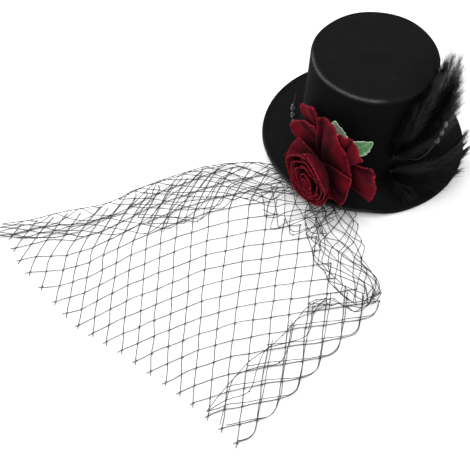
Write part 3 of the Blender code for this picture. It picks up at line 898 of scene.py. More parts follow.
@dataclass
class NetVeil:
    """One sheet of knotted diamond net: a flat panel, folded back along both sides and gathered at the hat.

    Knots are counted by row, downwards, and by column, to the right. The cut edge runs where both are equal,
    and the right-hand fold where they add up to the same number, so it turns rows into columns.
    """

    columns: tuple[Column, ...] = (
        Column(-5, (-0.1980, -0.1790), -84.0), Column(-2, (-0.1740, -0.1660), -84.0),
        Column(0, (-0.1550, -0.1610), -83.0), Column(2, (-0.1408, -0.1523), -81.0),
        Column(5, (-0.1197, -0.1318), -79.0), Column(8, (-0.0970, -0.1142), -79.0),
        Column(10, (-0.0799, -0.1022), -81.0), Column(12, (-0.0585, -0.0913), -84.0),
        Column(14, (-0.0370, -0.0830), -86.0), Column(21, (0.0330, -0.0560), -87.5),
    )
    row_pitch: float = 0.0105
    first_row: int = -9
    fold_sum: int = 26
    fold_first_row: int = 6
    fold_depth: int = 5
    fold_pull: float = 0.14
    fold_bend: float = 0.38
    fold_shift: tuple[float, float] = (0.00040, 0.00065)
    stub: float = 0.26
    steps: int = 3
    thread_radius: float = 0.00024
    waver: float = 0.00022
    knot_radius: float = 0.00048
    panel_height: float = 0.0005
    flap_height: float = 0.0017
    flap_width: float = 0.034
    flap_lean: float = 0.015
    brim_clearance: float = 0.0006
    seed: int = 11
    fold_seed: int = 1
    folds: tuple[Fold, ...] = (
        Fold(LEFT_OUTLINE, LEFT_EDGE, 22, 8, 0.0022, 0.0010, 0.6, True),
        Fold(LEFT_OUTLINE[3:], LEFT_EDGE[5:], 15, 8, 0.0034, 0.0014, 1.0, True),
        Fold(UNDER_BRIM, SWAG_EDGE, 9, 8, 0.0040, 0.0016, 0.7, True),
        Fold(UNDER_BRIM[1:], SWAG_EDGE[1:], 6, 5, 0.0030, 0.0022),
        Fold(FAN_LEFT, FAN_RIGHT, 14, 9, 0.0030, 0.0018, 1.0, True),
        Fold(FAN_LEFT, FAN_RIGHT, 9, 6, 0.0048, 0.0024),
        Fold(CREASE, CREASE_BELOW, 9, 3, 0.0035, 0.0008),
        Fold(FLAP_EDGE, FLAP_INNER, 8, 2, 0.0024, 0.0007, 1.0, True),
    )
    finish: Finish = NylonThread()

    def place(self, row: Array, column: Array) -> Array:
        """A knot's floor place: its column's place plus as many pitches down that column's heading.

        Args:
            row: Counts away from the hat.
            column: Counts across the panel.

        Returns:
            Floor places, in metres.
        """
        numbers = [c.number for c in self.columns]
        turn = np.radians(np.interp(column, numbers, [c.heading for c in self.columns]))
        x, y = (np.interp(column, numbers, [c.place[k] for c in self.columns]) for k in (0, 1))
        down = row * self.row_pitch
        return np.stack([x + down * np.cos(turn), y + down * np.sin(turn)], -1)

    def under_fold(self, places: Array) -> Array:
        """Moves places under the left fold along it, the more the nearer they lie to the outline.

        Args:
            places: Floor places, in metres.

        Returns:
            The moved places.
        """
        stations = walk(np.array(LEFT_OUTLINE), np.linspace(0.0, 1.0, 120))
        depth = np.linalg.norm(places[:, None] - stations[None], axis=2).min(1)
        share = np.clip(1.0 - depth / self.flap_width, 0.0, 1.0) ** 1.5
        way = np.array([math.cos(math.radians(28.0)), math.sin(math.radians(28.0))])
        return places + share[:, None] * self.flap_lean * way

    def on_panel(self, places: Array) -> Array:
        """True where a place lies on the panel: the count of outline edges crossed on the way out is odd.

        Args:
            places: Floor places, in metres.

        Returns:
            True or false for each place.
        """
        below = ((0.045, -0.130), (0.045, -0.260), (-0.260, -0.260), (-0.260, -0.145))
        gathered = ((-0.046, -0.066), (-0.037, -0.076), (-0.020, -0.079), (-0.008, -0.097), (0.004, -0.114))
        corners = np.array(LEFT_OUTLINE + gathered + below)
        ends = np.roll(corners, -1, axis=0)
        rise = np.where(ends[:, 1] == corners[:, 1], 1.0, ends[:, 1] - corners[:, 1])
        x, y = places[:, 0][:, None], places[:, 1][:, None]
        crosses = (corners[:, 1] > y) != (ends[:, 1] > y)
        at = corners[:, 0] + (y - corners[:, 1]) * (ends[:, 0] - corners[:, 0]) / rise
        return (crosses & (x < at)).sum(1) % 2 == 1

    def thread(self, rows: Array, columns: Array) -> Array:
        """A thread of the panel through these counts, turned back over the right-hand fold that it meets.

        The bend is rounded: a hyperbola in the distance beyond the fold pulls the thread inward.

        Args:
            rows: Row counts along it.
            columns: Column counts along it.

        Returns:
            The thread's points, in metres.
        """
        beyond = rows + columns - (self.fold_sum + 1)
        flap_rows = np.where(beyond > 0.0, self.fold_sum + 1 - columns, rows)
        flap_columns = np.where(beyond > 0.0, self.fold_sum + 1 - rows, columns)
        places = self.place(flap_rows, flap_columns)
        near, far = (self.place(np.array([row]), np.array([row + 5.0])) for row in (10.0, 11.0))
        inward = unit(near - far)
        rounded = (np.hypot(beyond, self.fold_bend) - np.abs(beyond)) / self.fold_bend
        pull = self.fold_pull * self.row_pitch * 2.0 * rounded
        shift = np.maximum(beyond, 0.0)[:, None] * np.array(self.fold_shift)
        rise = smooth_step((beyond + 1.0) / 2.0)
        height = self.panel_height + (self.flap_height - self.panel_height) * rise
        flat = self.under_fold(places + pull[:, None] * inward + shift)
        on_flap = (flap_rows > self.fold_first_row - 1.0) & (flap_rows <= flap_columns + self.stub)
        inside = self.on_panel(flat) & ((beyond <= 0.0) | on_flap)
        points = np.concatenate([flat, height[:, None]], -1)
        kept = np.nonzero(inside)[0]
        return points[kept[0]:kept[-1] + 1] if len(kept) > 2 else points[:0]

    def panel(self) -> tuple[list[Array], Array]:
        """The panel's threads in both ways, and the knots that they tie.

        Returns:
            The threads' paths and the knots' places.
        """
        last = self.fold_sum + 1 + self.fold_depth + self.stub
        rows, columns = range(self.first_row, 14), range(-5, 22)
        fine = 1.0 / self.steps
        paths = []
        for column in columns:
            end = column + self.stub if column <= 13 else last - column
            row = np.append(np.arange(self.first_row, end, fine), end)
            paths.append(self.thread(row, np.full_like(row, column)))
        for row in rows:
            start = max(row, -5.0)
            end = last - row if row > self.fold_first_row else 20.0
            column = np.concatenate([[start - self.stub], np.arange(start, end, fine), [end]])
            paths.append(self.thread(np.full_like(column, row), column))
        counts = np.stack(np.meshgrid(np.array(rows), np.array(columns), indexing="ij"), -1).reshape(-1, 2)
        kept = (counts[:, 0] <= counts[:, 1]) & (counts.sum(1) <= self.fold_sum)
        row, column = counts[kept].T.astype(float)
        knots = self.under_fold(self.place(row, column))
        knots = np.concatenate([knots, np.full((len(knots), 1), self.panel_height)], -1)[self.on_panel(knots)]
        return [path for path in paths if len(path) > 2], knots

    def below_brim(self, points: Array, hat: FeltHat) -> Array:
        """Points kept above the floor and, within the rim, below the brim.

        Args:
            points: Points, in metres.
            hat: The hat.

        Returns:
            The moved points.
        """
        radius = np.hypot(points[..., 0], points[..., 1])
        azimuth = np.degrees(np.arctan2(points[..., 1], points[..., 0])) % 360.0
        ceiling = hat.brim_under(radius) + hat.rim_lift(radius, azimuth) - self.brim_clearance
        ceiling = ceiling + smooth_step((radius - hat.brim_radius) / 0.02) * 0.02
        points[..., 2] = np.clip(points[..., 2], 0.0003, np.maximum(ceiling, 0.0003))
        return points

    def build(self, hat: FeltHat) -> Piece:
        """Draws every thread as a round tube and ties a knot where two cross.

        Args:
            hat: The hat.

        Returns:
            The net's piece.
        """
        random = np.random.default_rng(self.seed)
        parts = MeshParts()
        paths, panel_knots = self.panel()
        knots = [self.below_brim(panel_knots, hat)]
        for path in paths:
            wavy = path + drift(random, (len(path), 1, 3), self.waver)[:, 0] * [1.0, 1.0, 0.5]
            parts.tube(smooth_path(self.below_brim(wavy, hat), 2), self.thread_radius, 5)
        for number, fold in enumerate(self.folds):
            nodes = self.below_brim(fold.nodes(np.random.default_rng((self.fold_seed, number))), hat)
            for thread in fold.threads():
                parts.tube(smooth_path(nodes[thread[:, 0], thread[:, 1]], 6), self.thread_radius, 5)
            tied = [nodes[thread[1:-1, 0], thread[1:-1, 1]] for thread in fold.threads()]
            knots.append(np.unique(np.concatenate(tied), axis=0))
        centres = np.concatenate(knots)
        ball, faces = knot_shape()
        sizes = self.knot_radius * random.uniform(0.8, 1.25, (len(centres), 1, 3))
        balls = centres[:, None] + ball[None] * sizes
        faces = faces[None] + (np.arange(len(centres)) * len(ball))[:, None, None]
        parts.add(balls, faces.reshape(-1, 4))
        piece = parts.piece("veil_net", self.finish, 80.0)
        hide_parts("net_veil")
        return piece


def knot_shape() -> tuple[Array, Array]:
    """A small round body of quads, in rings whose radius is that of a ball at their height.

    Returns:
        Its points, of radius one, and its faces.
    """
    turn = np.arange(6) * math.pi / 3.0
    rings = [np.stack([size * np.cos(turn), size * np.sin(turn), np.full(6, level)], -1)
             for size, level in ((0.05, -1.0), (0.80, -0.60), (1.0, 0.0), (0.80, 0.60), (0.05, 1.0))]
    return np.concatenate(rings), grid_quads(5, 6, wrap=True)[:, ::-1]


# Velvet rose


@dataclass(frozen=True)
class Petal:
    """A loose petal: the node that it stands for, its layer and roll, and the three corners of its rim.

    A corner is a direction in degrees, then a reach and a distance outward as shares of the rose's radius.
    Valley is the place across it of its deepest crease, from -1 to 1.
    """

    node: str
    layer: int
    roll: float
    first: tuple[float, float, float]
    tip: tuple[float, float, float]
    last: tuple[float, float, float]
    valley: float = 0.3
    ruffle: float = 1.0


@dataclass
class VelvetRose:
    """Velvet petals threaded on a taped wire: loose outer petals, three rings of tight ones and a bud."""

    azimuth: float = 252.3
    height: float = 0.0220
    standoff: float = 0.0057
    facing: float = 230.0
    radius: float = 0.0380
    thickness: float = 0.0007
    solid_thickness: float = 0.0010
    layer_step: float = 0.0026
    seat_gap: float = 0.0003
    layer_gap: float = 0.0004
    root_spread: float = 1.3
    cup_power: float = 1.6
    bloom_radius: float = 0.0165
    bloom_depth: float = 0.0130
    bloom_step: float = 0.0036
    bud_radius: float = 0.0068
    bud_depth: float = 0.0088
    bud_turns: float = 1.9
    heart_dip: float = 0.10
    bud_sink: float = 0.0026
    heart_shift: tuple[float, float] = (0.0020, -0.0007)
    post_radius: float = 0.0032
    crease: float = 0.0011
    fine_crease: float = 0.0005
    valley_depth: float = 0.0016
    lip: float = 0.0009
    petals: tuple[Petal, ...] = (
        Petal("rose_petal_1", 0, 0.8,
              (148.5, 1.04, 0.05), (131.9, 1.01, 0.08), (121.7, 0.92, 0.08), 0.4, 0.5),
        Petal("rose_petal_2", 0, 0.8, (37.3, 0.87, 0.05), (27.3, 1.04, 0.05), (-12.7, 0.91, 0.05), -0.35),
        Petal("rose_petal_3", 1, 0.6, (84.0, 0.80, 0.11), (66.0, 0.98, 0.11), (45.2, 0.96, 0.12), 0.0),
        Petal("rose_petal_4", 1, 0.8, (185.2, 0.88, 0.16), (165.5, 0.96, 0.16), (122.6, 0.73, 0.15), 0.55),
        Petal("rose_petal_5", 2, 1.0, (112.0, 0.94, 0.17), (86.0, 0.93, 0.17), (23.6, 0.62, 0.21), -0.72),
        Petal("rose_petal_6", 3, 0.8, (27.4, 0.68, 0.26), (-30.0, 0.70, 0.37), (-56.0, 0.58, 0.42), -0.3),
        Petal("rose_petal_7", 3, 0.6, (222.0, 0.80, 0.42), (207.5, 0.89, 0.40), (160.0, 0.66, 0.26), 0.1),
    )
    finish: Finish = CrushedVelvet()

    def world(self, hat: FeltHat, right_way: Array, up: Array, out: Array) -> Array:
        """Points from places to the right, up and outward of the rose's root.

        Args:
            hat: The hat.
            right_way: Metres to the right.
            up: Metres up.
            out: Metres outward from the crown.

        Returns:
            Points in the shared frame.
        """
        turn = math.radians(self.facing)
        outward = np.array([math.cos(turn), math.sin(turn), 0.0])
        right = np.array([-outward[1], outward[0], 0.0])
        centre = polar(float(hat.crown_radius(self.height)) + self.standoff, self.azimuth, self.height)
        points = centre + right_way[..., None] * right + out[..., None] * outward
        points[..., 2] = centre[2] + up
        return points

    def root_radius(self, out: float) -> float:
        """Radius of the taped root at a distance outward: a ball first, then the post."""
        ball = self.standoff - self.seat_gap
        return max(self.post_radius, math.sqrt(max(ball * ball - out * out, 0.0)))

    def sew(self, parts: MeshParts, name: str, node: str) -> Piece:
        """Makes one velvet piece in place of a node.

        Args:
            parts: Its sheets, with the values rim, for the painted highlight, and the share out of the
                painted shade.
            name: The piece's name.
            node: The node that it stands for.

        Returns:
            The new piece, with its thickness.
        """
        piece = parts.piece(name, self.finish)
        wall(piece, self.thickness, 1)
        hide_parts(node)
        return piece

    def loose_petal(self, petal: Petal, hat: FeltHat) -> Piece:
        """A petal that fans out to its rim.

        The rim runs straight from corner to corner, with the corners rounded off. Reach runs straight from
        the root to the rim. Distance outward grows as the share to a power, less a roll at the rim. Creases
        run along the petal as sines of the place across it.

        Args:
            petal: Its row of the table.
            hat: The hat.

        Returns:
            The petal's piece.
        """
        share = np.linspace(0.0, 1.0, 40)[:, None]
        across = np.linspace(-1.0, 1.0, 45)[None, :]
        corners = np.array([petal.first, petal.tip, petal.last])
        middle = math.radians((petal.first[0] + petal.last[0]) / 2.0)
        turns = np.radians(corners[:, 0]) - middle
        ahead, aside, depth = (np.interp(across, [-1.0, 0.0, 1.0], values) for values in (
            corners[:, 1] * np.cos(turns), corners[:, 1] * np.sin(turns), corners[:, 2]))
        spread = 1.0 + self.root_spread * (1.0 - share) ** 2
        turn = middle + np.arctan2(aside, ahead) * spread
        start = petal.layer * self.layer_step + self.solid_thickness
        root = self.root_radius(start - self.solid_thickness / 2.0) + self.seat_gap
        bulge = 0.035 * np.sin(math.pi * across) ** 2 + 0.005 * np.sin(9.0 * across + petal.layer)
        round_off = 1.0 + bulge - 0.04 * np.abs(across) ** 10 - 0.03 * np.exp(-(across / 0.10) ** 2)
        reach = root + (np.hypot(ahead, aside) * self.radius * round_off - root) * share
        room = self.layer_step - self.solid_thickness - self.layer_gap
        edge = smooth_step((np.maximum(share, np.abs(across) * np.sqrt(share)) - 0.6) / 0.4)
        out = start + (depth * self.radius - start) * share ** self.cup_power - petal.roll * room * edge
        phase = petal.layer * 1.3 + petal.tip[0] * 0.05
        fine = self.fine_crease * np.sin(11.0 * across + 2.0 * phase + 4.0 * share)
        crease = self.crease * np.sin(5.0 * across + phase) + fine
        fold = np.exp(-((across - petal.valley - 0.12 * np.sin(4.0 * share)) / 0.11) ** 2)
        valley = self.valley_depth * fold * np.sin(math.pi * share) ** 0.7
        out = out + petal.ruffle * (crease * share ** 1.5 - valley)
        out = out - self.lip * smooth_step((share - 0.90) / 0.10) * (0.6 + 0.4 * np.sin(4.0 * across + phase))
        points = self.world(hat, reach * np.cos(turn), reach * np.sin(turn), out)
        floor = hat.brim_top(points) + self.layer_gap + self.solid_thickness * (1.0 + petal.layer * 1.5)
        points[..., 2] = np.maximum(points[..., 2], floor)
        # Painted highlight along the rim and the sides.
        side = smooth_step((np.abs(across) - 0.95) / 0.05) * share
        rim = np.maximum(smooth_step((share - 0.93) / 0.07), side)
        parts = MeshParts()
        # Painted shade near the root and along the deepest fold.
        parts.grid(points, rim=rim, open=smooth_step((share - 0.22) / 0.62) * (1.0 - 0.8 * fold))
        return self.sew(parts, petal.node.replace("rose_petal", "velvet_petal"), petal.node)

    def tight_ring(self, ring: int, start: float, depth: float, hat: FeltHat) -> Piece:
        """A ring of overlapping petals that make a cup, each from inside its neighbour to outside the next.

        Reach grows as a power of the sine of the share, and distance outward as a power of the share.

        Args:
            ring: The ring's number, from the outside.
            start: Where it starts outward, in metres.
            depth: Its depth outward, in metres.
            hat: The hat.

        Returns:
            The ring's piece.
        """
        count = 3 + ring
        radius = self.bloom_radius - ring * self.bloom_step
        root = self.post_radius + self.solid_thickness / 2.0 + self.seat_gap
        share = np.linspace(0.0, 1.0, 24)[:, None]
        across = np.linspace(-1.0, 1.0, 36)[None, :]
        parts = MeshParts()
        for number in range(count):
            middle = (number + 0.37 * ring) * 2.0 * math.pi / count + 0.5
            turn = middle + across * 1.32 * math.pi / count
            spiral = 1.0 + 0.075 * across
            body = np.sin(share * math.pi / 2.0) ** 0.8
            reach = root + (radius * spiral - root) * body
            lip = smooth_step((share - 0.86) / 0.14)
            reach = reach + 0.0010 * lip * (1.0 - 0.5 * across ** 2)
            wave = 0.05 * np.sin(5.0 * across + 1.7 * number + ring)
            crest = (1.0 - self.heart_dip * ring) * (1.0 - 0.16 * np.abs(across) ** 2.5 + wave)
            out = start + depth * share ** 1.4 * crest - 0.0005 * lip
            aside, upward = (shift * ring / 3.0 * share for shift in self.heart_shift)
            points = self.world(hat, reach * np.cos(turn) + aside, reach * np.sin(turn) + upward, out)
            # Painted highlight along the rim and the sides.
            side = smooth_step((np.abs(across) - 0.95) / 0.05)
            rim = np.maximum(smooth_step((share - 0.90) / 0.10), side)
            # Painted shade towards the root of each petal.
            parts.grid(points, rim=rim, open=smooth_step((share - 0.35) / 0.6))
        return self.sew(parts, f"velvet_ring_{ring + 1}", f"rose_bloom_{ring + 1}")

    def bud(self, start: float, hat: FeltHat) -> Piece:
        """The heart: one strip of velvet wound into a spiral that opens outwards, its rim turned out.

        Args:
            start: Where it starts outward, in metres.
            hat: The hat.

        Returns:
            The heart's piece.
        """
        share = np.linspace(0.0, 1.0, 120)[:, None]
        along = np.linspace(0.0, 1.0, 16)[None, :]
        turn = share * 2.0 * math.pi * self.bud_turns
        lip = smooth_step((along - 0.8) / 0.2)
        wave = 1.0 + 0.05 * np.sin(9.0 * share * math.pi)
        reach = self.bud_radius * (0.24 + 0.76 * share) * (0.80 + 0.20 * along) * wave + 0.0004 * lip
        rise = self.bud_depth * along * (1.0 - 0.12 * share) * (1.0 + 0.08 * np.sin(14.0 * share))
        out = start - self.bud_sink * along + rise
        aside, upward = (shift * along for shift in self.heart_shift)
        points = self.world(hat, reach * np.cos(turn) + aside, reach * np.sin(turn) + upward, out)
        parts = MeshParts()
        # Painted highlight on the rim and painted shade deep in the spiral.
        parts.grid(points, rim=smooth_step((along - 0.9) / 0.1), open=smooth_step((along - 0.4) / 0.6))
        return self.sew(parts, "velvet_bud", "rose_bud")

    def build(self, hat: FeltHat) -> None:
        """Builds the loose petals, then the rings and the bud, one in front of another.

        Args:
            hat: The hat.
        """
        for petal in self.petals:
            self.loose_petal(petal, hat)
        layers = max(petal.layer for petal in self.petals) + 1
        start = layers * self.layer_step + self.solid_thickness
        depth = self.bloom_depth
        for ring in range(3):
            self.tight_ring(ring, start, depth, hat)
            start += self.solid_thickness * 2.0 + self.layer_gap
            depth -= self.solid_thickness * 1.5
        self.bud(start, hat)


# Leaves


@dataclass(frozen=True)
class Leaf:
    """A leaf: its node, direction in degrees, length and width as shares, and how far it has faded."""

    node: str
    direction: float
    length: float
    width: float
    fade: float


@dataclass
class LeafSpray:
    """Toothed cloth leaves that stand against the crown behind the rose."""

    length: float = 0.0210
    width: float = 0.0135
    thickness: float = 0.0004
    solid_thickness: float = 0.0007
    teeth: int = 7
    leaves: tuple[Leaf, ...] = (
        Leaf("leaf_1", 99.0, 1.04, 1.05, 0.8), Leaf("leaf_2", 45.0, 0.96, 0.95, 0.1),
        Leaf("leaf_3", 142.0, 0.90, 0.8, 0.5),
    )
    finish: Finish = PrintedLeafCloth()

    def build(self, rose: VelvetRose, hat: FeltHat) -> None:
        """Builds each leaf: its breadth is the sine of the share along it, cut into teeth.

        Args:
            rose: The rose.
            hat: The hat.
        """
        share = np.linspace(0.0, 1.0, 85)[:, None]
        across = np.linspace(-1.0, 1.0, 31)[None, :]
        for leaf in self.leaves:
            saw = (share * self.teeth) % 1.0
            tooth = 1.0 + 0.16 * (saw - 0.5) * np.abs(across) ** 3
            breadth = leaf.width * self.width / 2.0 * (0.10 + 0.90 * np.sin(math.pi * share ** 0.9)) * tooth
            reach = rose.standoff + self.solid_thickness + leaf.length * self.length * share
            turn = math.radians(leaf.direction)
            right = reach * math.cos(turn) - across * breadth * math.sin(turn)
            height = rose.height + reach * math.sin(turn) + across * breadth * math.cos(turn)
            radius = hat.crown_radius(height)
            lift = rose.seat_gap + self.solid_thickness * (0.5 + 0.9 * np.abs(across) ** 1.5)
            curl = 0.0008 * share ** 3 + 0.0002 * np.sin(share * 30.0) * np.abs(across)
            points = polar(radius + lift + curl, rose.azimuth + np.degrees(right / radius), height)
            edge = smooth_step((np.abs(across) - 0.62) / 0.38)
            rib = np.exp(-(across / 0.05) ** 2) * 0.7
            veins = 0.5 * np.exp(-(((share * 9.0 - np.abs(across) * 2.0) % 1.0 - 0.5) / 0.09) ** 2)
            shade = np.maximum(np.maximum(edge, rib), np.maximum(veins, leaf.fade))
            parts = MeshParts()
            parts.grid(points, rim=shade)
            piece = parts.piece(leaf.node.replace("leaf", "cloth_leaf"), self.finish)
            wall(piece, self.thickness, 0)
            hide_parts(leaf.node)


# Bead sprays


@dataclass(frozen=True)
class Spray:
    """A spray: the node that it stands for, its beads, the bare quill's length and the stem's corners.

    A corner is a distance from the crown, an azimuth in degrees and a height.
    """

    node: str
    beads: int
    quill: float
    corners: tuple[tuple[float, float, float], ...]


@dataclass
class BeadSprays:
    """Wired rows of faceted beads, glued in beside the rose and the feathers."""

    bead_radius: float = 0.0020
    pitch: float = 0.0052
    stem_radius: float = 0.0005
    solid_stem: float = 0.0006
    facets: int = 8
    sprays: tuple[Spray, ...] = (
        Spray("bead_spray_left", 4, 0.0075,
              ((0.0, 212.0, 0.024), (0.0120, 208.0, 0.022), (0.0070, 201.0, 0.047))),
        Spray("bead_spray_right", 3, 0.0,
              ((0.0, 312.0, 0.021), (0.0190, 314.0, 0.026), (0.0130, 334.0, 0.050))),
    )
    finish: Finish = JetBead()

    def build(self, rose: VelvetRose, hat: FeltHat) -> None:
        """Builds both sprays: each stem is a quadratic curve under its corners, with faceted beads on it.

        Args:
            rose: The rose.
            hat: The hat.
        """
        for spray in self.sprays:
            corners = []
            for away, azimuth, height in spray.corners:
                seat = 0.0 if corners else rose.seat_gap + self.solid_stem
                corners.append(polar(float(hat.crown_radius(height)) + away + seat, azimuth, height))
            t = np.linspace(0.0, 1.0, 160)[:, None]
            path = corners[0] * (1.0 - t) ** 2 + 2.0 * corners[1] * t * (1.0 - t) + corners[2] * t ** 2
            steps = np.concatenate([[0.0], np.cumsum(np.linalg.norm(np.diff(path, axis=0), axis=1))])
            parts = MeshParts()
            parts.tube(path[::4], self.stem_radius, 8, glass=0.0)
            for number in range(spray.beads):
                centre = steps[-1] - spray.quill - self.pitch * (spray.beads - number - 0.5)
                share = np.array([-0.97, -0.55, 0.0, 0.55, 0.97])
                spots = np.interp(centre + share * self.bead_radius * 1.1, steps, np.arange(len(steps)))
                low = np.clip(spots.astype(int), 0, len(steps) - 2)
                spine = path[low] + (path[low + 1] - path[low]) * (spots - low)[:, None]
                rings = tube_rings(spine, self.bead_radius * np.sqrt(1.0 - share ** 2 * 0.93), self.facets)
                parts.grid(rings, wrap=True, glass=1.0)
            piece = parts.piece(spray.node.replace("bead_spray", "jet_beads"), self.finish, 18.0)
            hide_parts(spray.node)


# Feathers


class Side(Enum):
    """The two sides of a quill, as the way in which its barbs leave it."""

    LEFT = -1.0
    RIGHT = 1.0


@dataclass(frozen=True)
class Blade:
    """A feather: its turn, its tip's height and reach, and its width, as shares of the bunch's sizes."""

    turn: float
    tip_height: float
    reach: float
    width: float


@dataclass(frozen=True)
class Shaft:
    """A quill's stations: places, the ways along, across and out of the feather, and its half width."""

    path: Array
    tangent: Array
    edge: Array
    normal: Array
    half: Array

    def at(self, places: Array) -> list[Array]:
        """The path, then the unit ways, then the half width, at places counted in stations.

        Args:
            places: Counts of stations along the quill.

        Returns:
            The five arrays, with one row for each place.
        """
        low = np.minimum(places.astype(int), len(self.path) - 2)
        rest = (places - low)[:, None]
        path, tangent, edge, normal, half = (
            values[low] * (1.0 - rest) + values[low + 1] * rest
            for values in (self.path, self.tangent, self.edge, self.normal, self.half[:, None]))
        return [path, unit(tangent), unit(edge), unit(normal), half[:, 0]]


@dataclass
class FeatherBunch:
    """Hackle feathers bound to one root: each has a quill and two rows of soft, ragged barbs."""

    node: str
    root_height: float
    blades: tuple[Blade, ...]
    seed: int
    root_azimuth: float = 298.0
    root_radius: float = 0.0032
    bound_radius: float = 0.0016
    width: float = 0.0140
    solid_thickness: float = 0.0014
    reach: float = 0.0120
    top: float = 0.0830
    turn: float = 66.0
    lay_height: float = 0.0140
    layer: float = 0.0007
    felt_gap: float = 0.0004
    barbs: int = 860
    barb_half: float = 0.00016
    quill_foot: float = 0.00045
    quill_tip: float = 0.00010
    finish: Finish = DyedFeather()

    def shaft(self, hat: FeltHat, rose: VelvetRose, number: int, blade: Blade) -> Shaft:
        """The quill's run round the crown: azimuth and reach grow as the share, height as a power of it.

        Args:
            hat: The hat.
            rose: The rose.
            number: The feather's number.
            blade: The feather's row of the table.

        Returns:
            The quill's stations.
        """
        share = np.linspace(0.0, 1.0, 60)
        azimuth = self.root_azimuth + blade.turn * self.turn * share
        height = self.root_height + (blade.tip_height * self.top - self.root_height) * share ** 1.15
        stand = rose.seat_gap + self.root_radius
        out = np.maximum(stand + (blade.reach * self.reach - stand) * share, self.solid_thickness * 2.0)
        path = polar(hat.crown_radius(np.minimum(height, hat.crown_height)) + out, azimuth, height)
        rest = hat.brim_top(path) + rose.layer_gap + self.solid_thickness * 2.0 + self.layer * number
        path[:, 2] = np.maximum(path[:, 2], rest)
        tangent = unit(np.gradient(path, axis=0))
        lean = smooth_step(1.0 - (path[:, 2] - rest) / self.lay_height)[:, None]
        spread = polar(1.0, azimuth, 0.0) * (1.0 - lean) + np.array([0.0, 0.0, 1.0]) * lean
        edge = unit(np.cross(tangent, spread))
        normal = np.cross(edge, tangent)
        half = blade.width * self.width / 2.0 * (0.80 + 0.20 * smooth_step(share / 0.45))
        return Shaft(path, tangent, edge, normal, half * (1.0 - 0.50 * share ** 4))

    def build(self, hat: FeltHat, rose: VelvetRose) -> Piece:
        """Builds each quill with its two rows of barbs, then the bound root.

        Args:
            hat: The hat.
            rose: The rose.

        Returns:
            The bunch's piece.
        """
        random = np.random.default_rng(self.seed)
        parts = MeshParts()
        for number, blade in enumerate(self.blades):
            shaft = self.shaft(hat, rose, number, blade)
            quill = np.linspace(self.quill_foot, self.quill_tip, len(shaft.path))
            # Painted glint along the quill, none at the root, where it is painted shade.
            tone = np.linspace(0.0, 0.6, len(shaft.path))
            parts.tube(shaft.path[::2], quill[::2], 6, tone=tone[::2])
            for side in Side:
                self.row(parts, random, side, shaft, hat)
        parts.grid(self.root(hat, rose), wrap=True, tone=0.0)
        piece = parts.piece(self.node.replace("feathers", "hackles"), self.finish, 80.0)
        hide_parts(self.node)
        return piece

    def row(self, parts: MeshParts, random: np.random.Generator, side: Side, shaft: Shaft,
            hat: FeltHat) -> None:
        """Adds one side's barbs as narrow ribbons.

        A barb leaves the quill at a slant and bends towards the tip: it is quadratic in the share along it.

        Args:
            parts: The mesh being gathered.
            random: The source of random numbers.
            side: The side of the quill.
            shaft: The quill.
            hat: The hat.
        """
        last = len(shaft.path) - 1
        at = np.sort(random.uniform(0.02, 0.95, self.barbs)) * last
        share = at / last
        root, way, out, up, breadth = shaft.at(at)
        slant = np.radians(np.clip(66.0 - 34.0 * share + random.normal(0.0, 9.0, self.barbs), 24.0, 85.0))
        length = breadth / np.sin(slant) * random.uniform(0.60, 1.18, self.barbs)
        lift = np.clip(random.normal(0.06, 0.20, self.barbs), -0.3, 0.45)
        t = np.linspace(0.0, 1.0, 5)[None, :, None]
        out = side.value * out
        start = way * np.cos(slant)[:, None] + out * np.sin(slant)[:, None] + up * lift[:, None]
        bend = way * 0.40 - out * 0.22 + up * random.uniform(-0.2, 0.2, (self.barbs, 1))
        line = root[:, None] + length[:, None, None] * (start[:, None] * t + bend[:, None] * t ** 2)
        line = self.clear_of_felt(line, hat)
        flat = unit(np.cross(up, start))[:, None]
        wide = (self.barb_half * (1.0 - 0.65 * t ** 2)) * flat
        ribbon = np.stack([line - wide, line + wide], 2)
        corners = ribbon.shape[1] * 2
        faces = grid_quads(ribbon.shape[1], 2)[None] + (np.arange(self.barbs) * corners)[:, None, None]
        # Painted glints, random for each barb, fading to painted shade near the root.
        glint = np.clip(random.gamma(1.2, 0.16, self.barbs) + 0.10 * share, 0.0, 1.0)
        parts.add(ribbon, faces.reshape(-1, 4), tone=np.repeat(glint * smooth_step(share / 0.4), corners))

    def clear_of_felt(self, points: Array, hat: FeltHat) -> Array:
        """Points kept above the brim, and outside the crown where they are lower than its top.

        Args:
            points: Points, in metres.
            hat: The hat.

        Returns:
            The moved points.
        """
        flat = np.linalg.norm(points[..., :2], axis=-1, keepdims=True)
        height = np.clip(points[..., 2:], 0.0, hat.crown_height)
        least = hat.crown_radius(height) + self.felt_gap
        beside = points[..., 2:] < hat.crown_height
        scale = np.where(beside, np.maximum(1.0, least / np.maximum(flat, 1e-6)), 1.0)
        placed = np.concatenate([points[..., :2] * scale, points[..., 2:]], -1)
        placed[..., 2] = np.maximum(placed[..., 2], hat.brim_top(placed) + self.felt_gap)
        return placed

    def root(self, hat: FeltHat, rose: VelvetRose) -> Array:
        """The bound root: a ball's rings about the place where the quills meet.

        Args:
            hat: The hat.
            rose: The rose.

        Returns:
            The ball's rings.
        """
        away = float(hat.crown_radius(self.root_height)) + rose.seat_gap + self.root_radius
        centre = polar(away, self.root_azimuth, self.root_height)
        rise = np.radians(np.linspace(-89.0, 89.0, 14))[:, None]
        turn = (np.arange(20) * 18.0)[None, :]
        return centre + self.bound_radius * polar(np.cos(rise), turn, np.sin(rise))


# Stage


@dataclass(frozen=True)
class Lamp:
    """A square soft light: its name, its place from the hat's axis, its side in metres, its watts."""

    name: str
    place: tuple[float, float, float]
    size: float
    power: float


